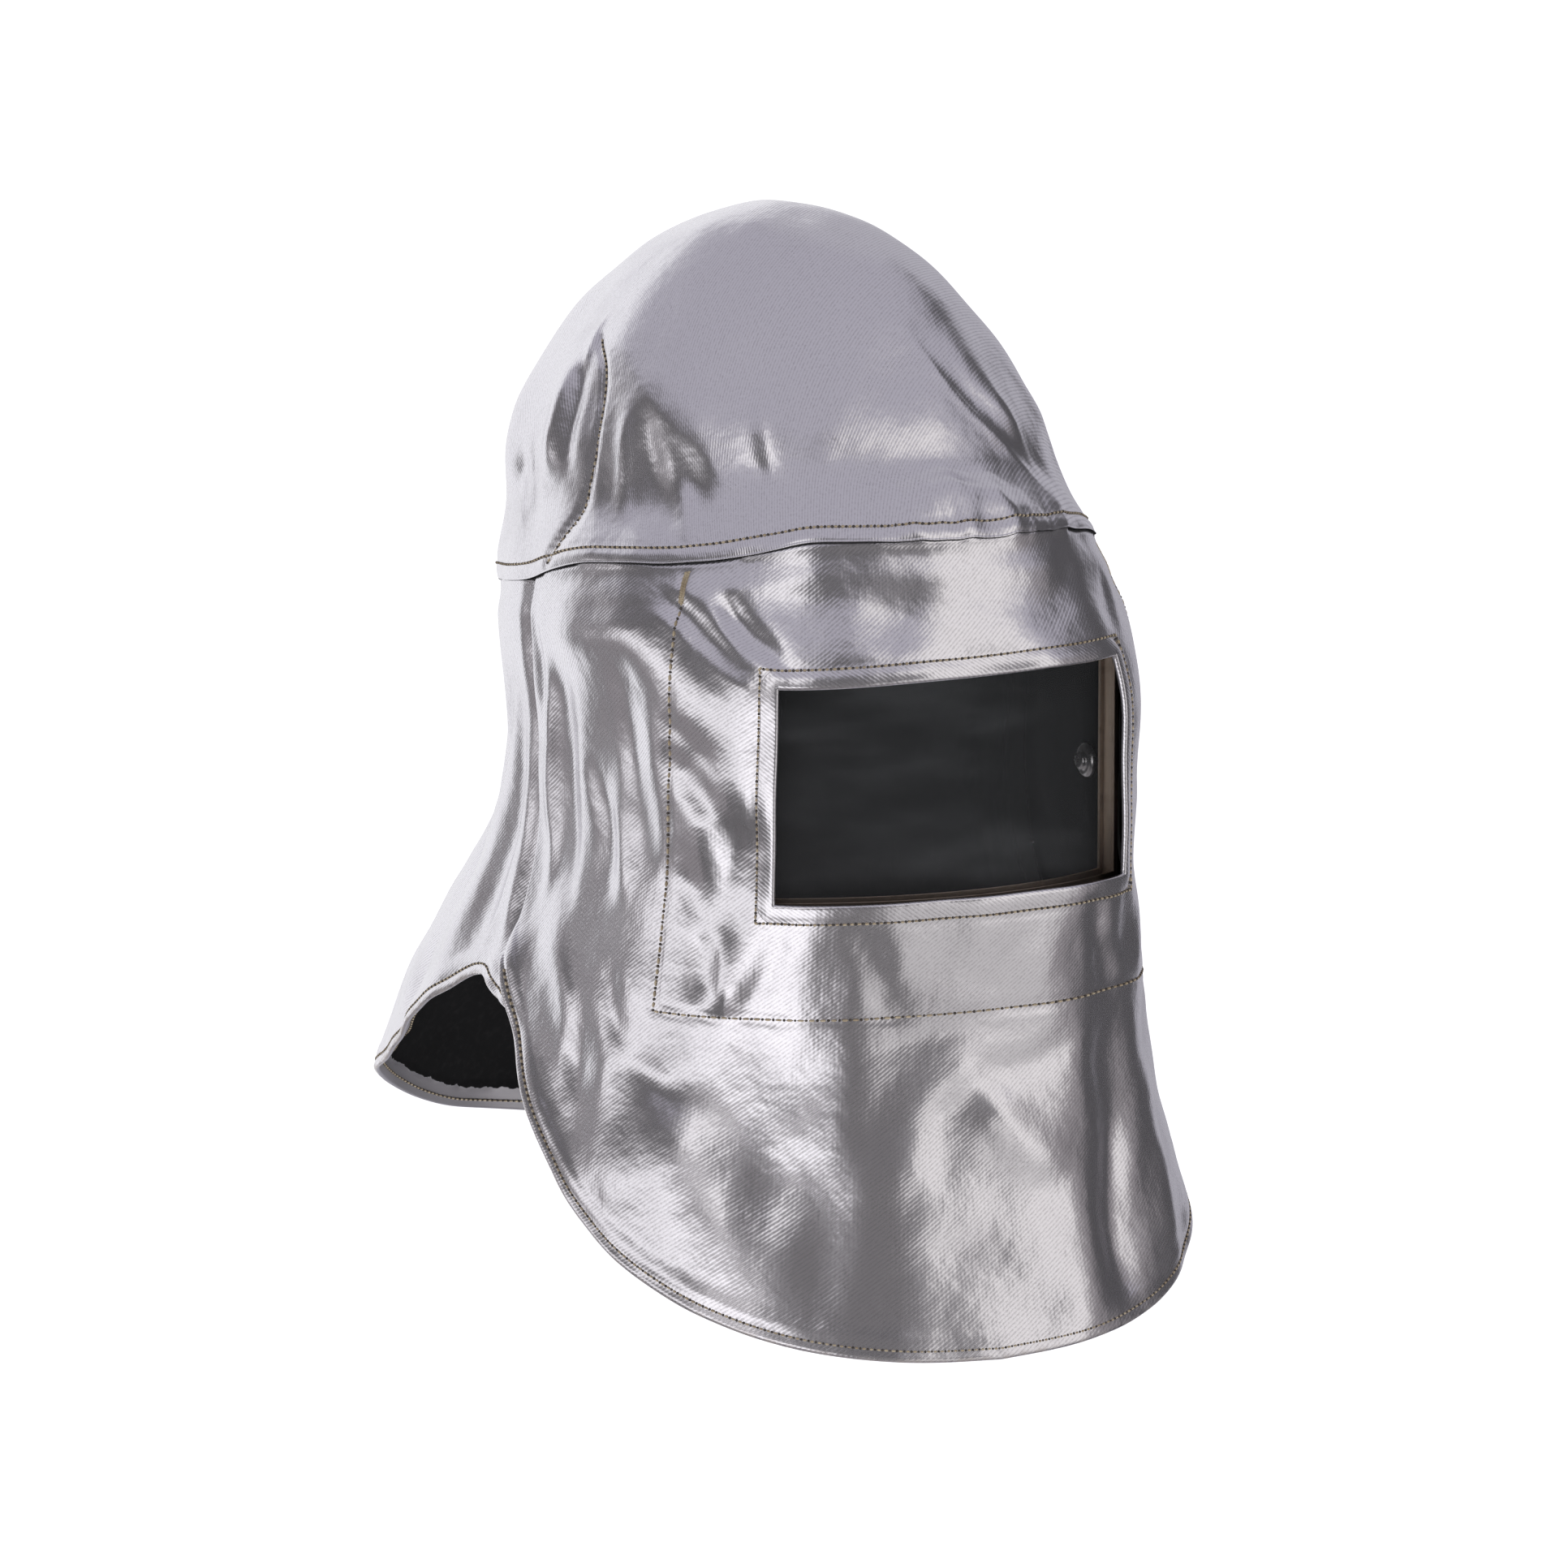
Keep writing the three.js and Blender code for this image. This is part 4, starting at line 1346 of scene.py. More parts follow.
    def runs(self) -> list[StitchRun]:
        """Rows of stitches on the crown: round its lip and along both darts."""
        angle = np.linspace(-math.pi, math.pi, self.lip_places, endpoint=False)
        found = [self.row(angle, np.full(angle.shape, 1 - self.stitch_up / self.meridian), True)]
        for side in (1.0, -1.0):
            way, drop = self.dart_path(side, self.dart_places)
            found.append(self.row(way, FORM.level_of(way, drop), False))
        return found


@dataclass
class Panel:
    """What the face panel and the cape share: a turned, sewn hem."""

    step: float = 2.0
    stitch_in: float = 4.5
    stitch_depth: float = 0.55
    stitch_width: float = 1.3
    hem_puff: float = 0.45
    hem_roll: float = 4.0
    # Angle either way over which the hem's slope is taken, and rounds that settle its row of stitches.
    hem_turn: float = 0.02
    hem_rounds: int = 3
    # The raw edge of the turned cloth: how soft its step is, and the waves in its line.
    raw_edge: float = 1.4
    ragged: float = 0.9
    ragged_wave: int = 61
    fine_wave: int = 143
    fine_share: float = 0.7
    fine_phase: float = 1.3

    def outer(self, angle: Array, drop: Array) -> tuple[Array, Array]:
        """Outer face of the panel and its normals; each panel has its own."""
        raise NotImplementedError

    def hem_away(self, hem: Callable[[Array], Array], angle: Array, drop: Array) -> Array:
        """Distance from the hem across the cloth, in mm."""
        radius = FORM.section_radius(angle, drop)
        slope = (hem(angle + self.hem_turn) - hem(angle - self.hem_turn)) / (2 * self.hem_turn * radius)
        return (hem(angle) - drop) / np.sqrt(1 + slope**2)

    def hem_height(self, away: Array) -> Array:
        """Puff of the turned hem and the channel of its stitches."""
        puff = self.hem_puff * (1 - ease((away - FORM.hem + self.hem_roll / 2) / self.hem_roll))
        return puff + groove(away - self.stitch_in, self.stitch_depth, self.stitch_width)

    def hem_wall(self, away: Array, angle: Array) -> Array:
        """Thickness of the cloth, doubled over the hem, whose raw edge is uneven."""
        fine = self.fine_share * np.sin(angle * self.fine_wave + self.fine_phase)
        uneven = self.ragged * (np.sin(angle * self.ragged_wave) + fine)
        inside = 1 - ease((away - FORM.hem - uneven) / self.raw_edge + 0.5)
        return FORM.cloth + (FORM.hem_cloth - FORM.cloth) * inside

    def hem_drop(self, hem: Callable[[Array], Array], angle: Array) -> Array:
        """Drop of the hem's row of stitches at each angle."""
        drop = hem(angle)
        for _ in range(self.hem_rounds):
            drop = drop - (self.stitch_in - self.hem_away(hem, angle, drop))
        return drop

    def row(self, angle: Array, drop: Array, lift: float, closed: bool = False) -> StitchRun:
        """A row of stitches through places on the panel.

        Args:
            angle: angles from the face.
            drop: drops, in the same shape.
            lift: how far the thread lies above the outer face, minus on the inside.
            closed: whether the row closes.

        Returns:
            The row.
        """
        points, normal = self.outer(angle, drop)
        return StitchRun(points + normal * lift, normal if lift > 0 else -normal, closed)


@dataclass
class FacePanel(Panel):
    """Front of the hood: brow, window for the visor, and the rounded bib below it.

    Left and right of the window are as seen from in front. The angles of its sides and of the pocket's
    rows are in degrees.
    """

    window_left_top: float = 184.0
    window_right_top: float = 180.0
    window_left_low: float = 273.5
    window_right_low: float = 273.0
    window_top_angle: float = 29.2
    window_low_angle: float = 29.9
    # Drops between which the window's sides spread.
    window_from: float = 182.0
    window_until: float = 273.0
    window_turn: float = -0.65 * DEG
    # How much longer the cloth beside the window is than its arc, and the radius that turns the
    # border's width into an angle.
    window_slant: float = 1.08
    window_radius: float = 165.0
    window_columns: int = 86
    window_rows: int = 46
    # How much narrower the window's turned strip is than the hem.
    window_hem: float = 2.0
    # Places along a side and an end of a row of stitches.
    window_places: tuple[int, int] = (90, 50)
    border: float = 8.0
    border_puff: float = 0.5
    border_roll: float = 3.0
    border_lift: float = 0.36
    # Lengths of cloth beside, above and below the window, for the spacing of points.
    side_length: float = 140.0
    brow_length: float = 58.0
    bib_length: float = 150.0
    grid_rounds: int = 4
    flat_radius: float = 148.0
    hem_margin: float = 0.05
    hem_places: int = 320
    hem_lift: float = 0.22
    pocket_angle: float = 47.0
    pocket_spread: float = 3.0
    pocket_top: float = 138.0
    pocket_low: float = 322.0
    pocket_past: float = 1.0
    pocket_depth: float = 0.7
    pocket_width: float = 1.5
    pocket_pitch: float = 4.6
    pocket_lift: float = 0.42
    pocket_places: tuple[int, int] = (160, 90)
    tack_from: float = 1.0
    tack_until: float = 14.0
    tack_places: int = 27
    tack_swing: float = 0.9
    tack_lift: float = 0.15
    tack_pitch: float = 1.3
    tack_share: float = 1.8
    flat: tuple[float, float] = (0.50, 0.38)
    area: float = 0.140

    def window_angle(self, drop: Array) -> Array:
        """Angle of the window's sides in radians."""
        share = np.clip((drop - self.window_from) / (self.window_until - self.window_from), 0, 1)
        return (self.window_top_angle + (self.window_low_angle - self.window_top_angle) * share) * DEG

    def window_top(self, angle: Array) -> Array:
        """Drop of the window's upper edge, a little lower on the wearer's right."""
        share = np.clip(angle / (2 * self.window_top_angle * DEG) + 0.5, 0, 1)
        return self.window_left_top + (self.window_right_top - self.window_left_top) * share

    def window_low(self, angle: Array) -> Array:
        """Drop of the window's lower edge."""
        share = np.clip(angle / (2 * self.window_low_angle * DEG) + 0.5, 0, 1)
        return self.window_left_low + (self.window_right_low - self.window_left_low) * share

    def window_away(self, angle: Array, drop: Array) -> Array:
        """Distance from the window's edge in mm."""
        radius = FORM.section_radius(angle, drop)
        past = np.maximum(np.abs(angle - self.window_turn) - self.window_angle(drop), 0)
        over = np.maximum(np.maximum(self.window_top(angle) - drop, drop - self.window_low(angle)), 0)
        return np.hypot(past * radius * self.window_slant, over)

    def pocket_side(self, drop: Array) -> Array:
        """Angle in radians of the upright rows of the pocket's stitching."""
        share = np.clip((drop - self.pocket_top) / (self.pocket_low - self.pocket_top), 0, 1)
        return (self.pocket_angle + self.pocket_spread * share) * DEG

    def pocket_groove(self, angle: Array, drop: Array) -> Array:
        """Depth of the channel sewn round the visor pocket."""
        radius = FORM.section_radius(angle, drop)
        side = self.pocket_side(drop)
        level = (drop > self.pocket_top) & (drop < self.pocket_low + self.pocket_past)
        beside = np.where(level, np.abs(np.abs(angle) - side) * radius, FAR)
        under = np.where(np.abs(angle) < side, np.abs(drop - self.pocket_low), FAR)
        return groove(np.minimum(beside, under), self.pocket_depth, self.pocket_width)

    def outer(self, angle: Array, drop: Array) -> tuple[Array, Array]:
        """The hood's face with the panel's hems and channels worked into it, and its normals."""
        points, normal = FORM.surface(angle, FORM.level_of(angle, drop))
        hem = self.hem_away(FORM.bib_drop, angle, drop)
        near = self.window_away(angle, drop)
        strip = self.border_puff * (1 - ease((near - self.border + self.border_roll / 2) / self.border_roll))
        strip = strip + groove(near - self.border, self.stitch_depth, self.stitch_width)
        height = self.hem_height(hem) + strip + self.pocket_groove(angle, drop)
        height = height - FORM.face_inset(angle, drop)
        return points + normal * height[..., None], normal

    def grid(self) -> tuple[Array, Array, Array]:
        """Angles and drops of the panel's grid, and which of its cells the window leaves.

        Returns:
            Angles, drops and the kept cells.
        """
        side = spaced(self.side_length, self.step, True, True)
        middle = np.linspace(0, 1, self.window_columns)
        upper = spaced(self.brow_length, self.step, False, True)
        beside = np.linspace(0, 1, self.window_rows)
        lower = spaced(self.bib_length, self.step, True, True)
        across = np.concatenate([side - 2, middle[1:-1] - 1, side])
        down = np.concatenate([upper, beside[1:-1] + 1, lower + 2])
        t, s = np.meshgrid(down, across, indexing="ij")
        angle = np.zeros(s.shape)
        drop = np.zeros(s.shape)
        # Angles and drops depend on each other near the window, so they are settled in a few rounds.
        for _ in range(self.grid_rounds):
            edge = self.window_angle(drop)
            left, right = self.window_turn - edge, self.window_turn + edge
            angle = np.where(s <= -1, -FORM.face_edge + (s + 2) * (FORM.face_edge + left),
                             np.where(s < 0, left + (s + 1) * 2 * edge, right + s * (FORM.face_edge - right)))
            first = FORM.seam_drop(angle) - FORM.lap
            top, low, end = self.window_top(angle), self.window_low(angle), FORM.bib_drop(angle)
            drop = np.where(t <= 1, first + t * (top - first),
                            np.where(t <= 2, top + (t - 1) * (low - top), low + (t - 2) * (end - low)))
        keep = np.ones((len(down) - 1, len(across) - 1), bool)
        row, column = len(upper) - 1, len(side) - 1
        keep[row:row + self.window_rows - 1, column:column + self.window_columns - 1] = False
        return angle, drop, keep

    def build(self, finishes: Finishes) -> bpy.types.Object:
        """Makes the face panel's cloth."""
        angle, drop, keep = self.grid()
        points, normal = self.outer(angle, drop)
        hem = self.hem_away(FORM.bib_drop, angle, drop)
        window = self.window_away(angle, drop)
        beside = (FORM.face_edge - np.abs(angle)) * FORM.arc_radius
        hemmed = np.minimum(hem, window + self.window_hem)
        away = np.minimum(np.minimum(hem, window), beside)
        outside, inside = layers(points, normal, self.hem_wall(hemmed, angle), away)
        spots, faces, sides, grid = shell(outside, inside, keep)
        flat = np.stack([angle * self.flat_radius, -drop], -1).reshape(-1, 2)[grid]
        numbers = {HEM_AWAY: hemmed.ravel()[grid], WINDOW_AWAY: window.ravel()[grid]}
        made = MeshData(spots, faces, sides, flat, numbers)
        return made.build("face_cloth", (finishes.cloth, finishes.reverse))

    def runs(self) -> list[StitchRun]:
        """Rows of stitches on the panel: along the hem and round the window's border."""
        reach = FORM.face_edge - self.hem_margin
        angle = np.linspace(-reach, reach, self.hem_places)
        hem = self.row(angle, self.hem_drop(FORM.bib_drop, angle), self.hem_lift)
        return [hem, self.window_run()]

    def window_run(self) -> StitchRun:
        """The row of stitches round the window."""
        reach = self.border / self.window_radius
        turn = self.window_turn
        wide, tall = self.window_places
        top = np.linspace(-1, 1, wide) * (self.window_top_angle * DEG + reach) + turn
        low = np.linspace(1, -1, wide) * (self.window_low_angle * DEG + reach) + turn
        right_ends = (self.window_right_top - self.border, self.window_right_low + self.border)
        left_ends = (self.window_left_low + self.border, self.window_left_top - self.border)
        right, left = (np.linspace(*ends, tall)[1:-1] for ends in (right_ends, left_ends))
        angle = np.concatenate([top, turn + self.window_angle(right) + reach, low,
                                turn - self.window_angle(left) - reach])
        drop = np.concatenate([self.window_top(top) - self.border, right,
                               self.window_low(low) + self.border, left])
        return self.row(angle, drop, self.border_lift, True)

    def pocket_runs(self) -> list[StitchRun]:
        """The row of stitches that holds the visor pocket: down one side, along the foot and up the other."""
        wide, tall = self.pocket_places
        down = np.linspace(self.pocket_top + self.tack_until, self.pocket_low, tall)
        side = self.pocket_side(down)
        foot = np.linspace(-side[-1], side[-1], wide)[1:-1]
        angle = np.concatenate([-side, foot, side[::-1]])
        drop = np.concatenate([down, np.full(foot.shape, self.pocket_low), down[::-1]])
        return [self.row(angle, drop, self.pocket_lift)]

    def tacks(self) -> list[StitchRun]:
        """Short dense zigzags that lock the top of the pocket's stitching, just under the crown."""
        drop = self.pocket_top + np.linspace(self.tack_from, self.tack_until, self.tack_places)
        swing = np.where(np.arange(self.tack_places) % 2 == 0, 1.0, -1.0) * self.tack_swing
        found = []
        for side in (-1.0, 1.0):
            angle = side * self.pocket_side(drop) + swing / FORM.arc_radius
            found.append(self.row(angle, drop, self.tack_lift))
        return found


@dataclass
class BackCape(Panel):
    """Back of the hood, from the nape seam to a hem over the shoulders."""

    columns: int = 236
    hem_radius: float = 190.0
    length: float = 260.0
    flat_radius: float = 175.0
    hem_margin: float = 0.06
    hem_places: int = 360
    hem_lift: float = 0.16
    inner_lift: float = 0.4
    flat: tuple[float, float] = (0.62, 0.32)
    area: float = 0.120

    def outer(self, angle: Array, drop: Array) -> tuple[Array, Array]:
        """The hood's face with the cape's hem worked into it, and its normals."""
        points, normal = FORM.surface(angle, FORM.level_of(angle, drop))
        height = self.hem_height(self.hem_away(FORM.cape_drop, angle, drop)) - FORM.cape_inset(angle, drop)
        return points + normal * height[..., None], normal

    def build(self, finishes: Finishes) -> bpy.types.Object:
        """Makes the cape's cloth."""
        arc = 2 * math.pi - 2 * FORM.cape_edge
        reach = arc * self.hem_radius
        shares = spaced(reach, reach / self.columns, True, True)
        t, s = np.meshgrid(spaced(self.length, self.step, False, True), shares, indexing="ij")
        angle = FORM.cape_edge + s * arc
        first = FORM.seam_drop(angle) - FORM.lap
        drop = first + t * (FORM.cape_drop(angle) - first)
        points, normal = self.outer(angle, drop)
        hem = self.hem_away(FORM.cape_drop, angle, drop)
        beside = np.minimum(s, 1 - s) * arc * FORM.arc_radius
        outside, inside = layers(points, normal, self.hem_wall(hem, angle), np.minimum(hem, beside))
        spots, faces, sides, grid = shell(outside, inside)
        flat = np.stack([angle * self.flat_radius, -drop], -1).reshape(-1, 2)[grid]
        numbers = {HEM_AWAY: hem.ravel()[grid], WINDOW_AWAY: np.full(len(grid), FAR)}
        made = MeshData(spots, faces, sides, flat, numbers)
        return made.build("cape_cloth", (finishes.cloth, finishes.reverse))

    def runs(self) -> list[StitchRun]:
        """Rows of stitches along the cape's hem, outside and inside."""
        reach = FORM.cape_edge + self.hem_margin
        angle = np.linspace(reach, 2 * math.pi - reach, self.hem_places)
        drop = self.hem_drop(FORM.cape_drop, angle)
        return [self.row(angle, drop, lift) for lift in (self.hem_lift, -FORM.hem_cloth - self.inner_lift)]


@dataclass
class Visor:
    """Bent pane in a channel frame, and the lining pocket that holds the frame behind the window."""

    radius: float = 160.0
    front: float = -153.0
    half_arc: float = 92.0
    top: float = 176.0
    bottom: float = 278.0
    pane_thick: float = 2.0
    lip: float = 3.6
    lip_thick: float = 1.3
    clearance: float = 0.4
    wall: float = 1.4
    back_lip: float = 4.6
    back_from: float = 6.3
    depth: float = 7.5
    bevel: float = 0.25
    sharp: float = 30.0
    frame_steps: tuple[int, int] = (48, 24)
    pane_columns: int = 61
    pane_rows: int = 25
    pocket_angle: float = 50 * DEG
    pocket_top: float = 141.0
    pocket_low: float = 323.0
    pocket_thick: float = 1.2
    pocket_gap: float = 0.7
    sewn_gap: float = 1.4
    grip: float = 4.6
    held_share: float = 1.2
    bow: float = 2.0
    slack: float = 0.8
    slack_across: float = 0.21
    slack_down: float = 0.17
    pocket_run: float = 45.0
    pocket_steps: tuple[int, int] = (90, 48)
    pocket_rows: int = 17
    flat: tuple[float, float] = (0.27, 0.19)
    area: float = 0.0285

    @property
    def half(self) -> float:
        """Half the frame's height."""
        return (self.bottom - self.top) / 2

    @property
    def middle(self) -> float:
        """Height of the frame's middle."""
        return -(self.bottom + self.top) / 2

    def point(self, arc: Array, z: Array, depth: Array) -> Array:
        """Points on the bent visor: arc across, height, and depth behind the frame's front."""
        turn = arc / self.radius
        r = self.radius + self.clearance + self.lip_thick - depth
        y = self.front + self.radius - r * np.cos(turn)
        return np.stack(np.broadcast_arrays(r * np.sin(turn), y, z), -1)

    def loop(self, across: int, down: int) -> Array:
        """Places round the frame's outline.

        Args:
            across: steps along the upper and the lower side.
            down: steps along each end.

        Returns:
            Rows of arc, height and the way out of the outline, mitred at the corners.
        """
        rows = []
        sides = ((self.half_arc, -self.half, 0, 1, down), (self.half_arc, self.half, -1, 0, across),
                 (-self.half_arc, self.half, 0, -1, down), (-self.half_arc, -self.half, 1, 0, across))
        for k, (arc, z, dir_arc, dir_z, steps) in enumerate(sides):
            before = sides[k - 1]
            length = 2 * self.half if dir_arc == 0 else 2 * self.half_arc
            for step in range(steps):
                run = length * step / steps
                corner = 1 if step == 0 else 0
                rows.append((arc + dir_arc * run, self.middle + z + dir_z * run,
                             dir_z + corner * before[3], -dir_arc - corner * before[2]))
        return np.array(rows, float)

    def eased_section(self) -> Array:
        """The frame's section, as inset from its outline and depth behind its front, with eased corners."""
        rows = np.array([
            (0, 0), (self.lip, 0), (self.lip, self.lip_thick), (self.wall, self.lip_thick),
            (self.wall, self.back_from), (self.back_lip, self.back_from), (self.back_lip, self.depth),
            (0, self.depth)])
        before, after = np.roll(rows, 1, axis=0), np.roll(rows, -1, axis=0)
        cut = np.stack([rows + unit(before - rows) * self.bevel, rows + unit(after - rows) * self.bevel], 1)
        return cut.reshape(-1, 2)

    def frame(self, finishes: Finishes) -> bpy.types.Object:
        """Makes the channel frame."""
        loop, section = self.loop(*self.frame_steps), self.eased_section()
        arc = loop[:, None, 0] - loop[:, None, 2] * section[None, :, 0]
        z = loop[:, None, 1] - loop[:, None, 3] * section[None, :, 0]
        points = self.point(arc, z, np.broadcast_to(section[None, :, 1], arc.shape))
        count, size = points.shape[:2]
        number = np.arange(count * size).reshape(count, size)
        ahead, along = np.roll(number, -1, axis=0), np.roll(number, -1, axis=1)
        faces = np.stack([number, ahead, np.roll(ahead, -1, axis=1), along], -1).reshape(-1, 4)
        made = MeshData(points.reshape(-1, 3), [faces], [0])
        return made.build("visor_rim", (finishes.rim,), self.sharp)

    def pane(self, finishes: Finishes) -> bpy.types.Object:
        """Makes the clear pane."""
        edge = self.wall + self.clearance
        z = np.linspace(-self.top - edge, -self.bottom + edge, self.pane_rows)
        arc = np.linspace(-1, 1, self.pane_columns) * (self.half_arc - edge)
        rise, across = np.meshgrid(z, arc, indexing="ij")
        front = self.lip_thick + self.clearance
        outside = self.point(across, rise, np.full(rise.shape, front))
        inside = self.point(across, rise, np.full(rise.shape, front + self.pane_thick))
        spots, faces, _, _ = shell(outside, inside)
        return MeshData(spots, faces, [0, 0, 0]).build("visor_clear", (finishes.pane,), self.sharp)

    def pocket(self, finishes: Finishes) -> bpy.types.Object:
        """Makes the ring of lining that is sewn behind the face panel and closes round the frame."""
        loop = self.loop(*self.pocket_steps)
        angle = self.pocket_angle * loop[:, 0] / self.half_arc
        share = (self.middle - loop[:, 1]) / self.half
        drop = (self.pocket_top + self.pocket_low) / 2 + share * (self.pocket_low - self.pocket_top) / 2
        surface, normal = FORM.surface(angle, FORM.level_of(angle, drop))
        inset = FORM.face_inset(angle, drop) + FORM.cloth + self.sewn_gap
        t = np.linspace(0, 1, self.pocket_rows)[:, None, None]
        grids = []
        for extra in (0.0, self.pocket_thick):
            sewn = surface - normal * (inset + extra)[:, None]
            held = self.point(loop[:, 0] + loop[:, 2] * self.pocket_gap,
                              loop[:, 1] + loop[:, 3] * self.pocket_gap, self.grip + extra * self.held_share)
            points = sewn[None] * (1 - t) + held[None] * t
            inward = np.array([0.0, 0.0, self.middle]) - points
            inward[..., 2] = 0
            slack = np.sin(loop[:, 0] * self.slack_across) * np.sin(loop[:, 1] * self.slack_down)
            slack = self.slack * slack
            bow = (self.bow + slack[None, :, None]) * 4 * t * (1 - t)
            grids.append(points + unit(inward) * bow)
        spots, faces, _, grid = shell(grids[1], grids[0], closed=True)
        reach = np.cumsum(np.linalg.norm(np.diff(surface, axis=0, prepend=surface[:1]), axis=1))
        spread = np.broadcast_arrays(reach[None, :], t[..., 0] * self.pocket_run)
        flat = np.stack(spread, -1).reshape(-1, 2)[grid]
        made = MeshData(spots, faces, [0, 0, 0], flat)
        return made.build("pocket_cloth", (finishes.lining,))


@dataclass
class PressStud:
    """Turned stud on the inside of a side wall."""

    angle: float = 64 * DEG
    drop: float = 239.0
    gap: float = 0.4
    segments: int = 40
    sharp: float = 50.0
    # Radius and height of the turned profile.
    profile: tuple[tuple[float, float], ...] = (
        (7.2, 0), (7.5, 0.3), (7.5, 1.5), (7.3, 1.9), (6.4, 2.7), (5.4, 3.0), (4.3, 3.1), (4.05, 3.3),
        (4, 4.3), (3.8, 4.7), (3.2, 5.1), (2.0, 5.2))

    def build(self, side: float, name: str, finishes: Finishes) -> bpy.types.Object:
        """Makes one stud.

        Args:
            side: 1 on the wearer's left, -1 on the right.
            name: the piece's name.
            finishes: the materials.

        Returns:
            The piece.
        """
        angle, drop = np.array([side * self.angle]), np.array([self.drop])
        surface, normal = FORM.surface(angle, FORM.level_of(angle, drop))
        axis = -normal[0]
        inset = FORM.face_inset(angle, drop)[0] + FORM.cloth + self.gap
        foot = surface[0] + axis * inset
        first = unit(np.cross(axis, np.array([0.0, 0.0, 1.0])))
        second = np.cross(axis, first)
        turn = np.arange(self.segments) * (2 * math.pi / self.segments)
        ring = np.cos(turn)[:, None] * first + np.sin(turn)[:, None] * second
        rows = [foot + axis * height + ring * radius for radius, height in self.profile]
        points = np.concatenate([*rows, [foot], [foot + axis * self.profile[-1][1]]])
        count = len(self.profile)
        number = np.arange(count * self.segments).reshape(count, self.segments)
        ahead = np.roll(number, -1, axis=1)
        walls = np.stack([number[:-1], ahead[:-1], ahead[1:], number[1:]], -1).reshape(-1, 4)
        base = count * self.segments
        foot_fan = np.stack([np.full(self.segments, base), ahead[0], number[0]], -1)
        tip_fan = np.stack([np.full(self.segments, base + 1), number[-1], ahead[-1]], -1)
        made = MeshData(points, [walls, foot_fan, tip_fan], [0, 0, 0])
        return made.build(name, (finishes.stud,), self.sharp)


@dataclass(frozen=True)
class Softbox:
    """A soft bright panel of the studio, by its direction from the hood."""

    azimuth: float
    half_width: float
    low: float
    high: float
    soft: float
    strength: float
    tint: tuple[float, float, float] = (1.0, 1.0, 1.0)


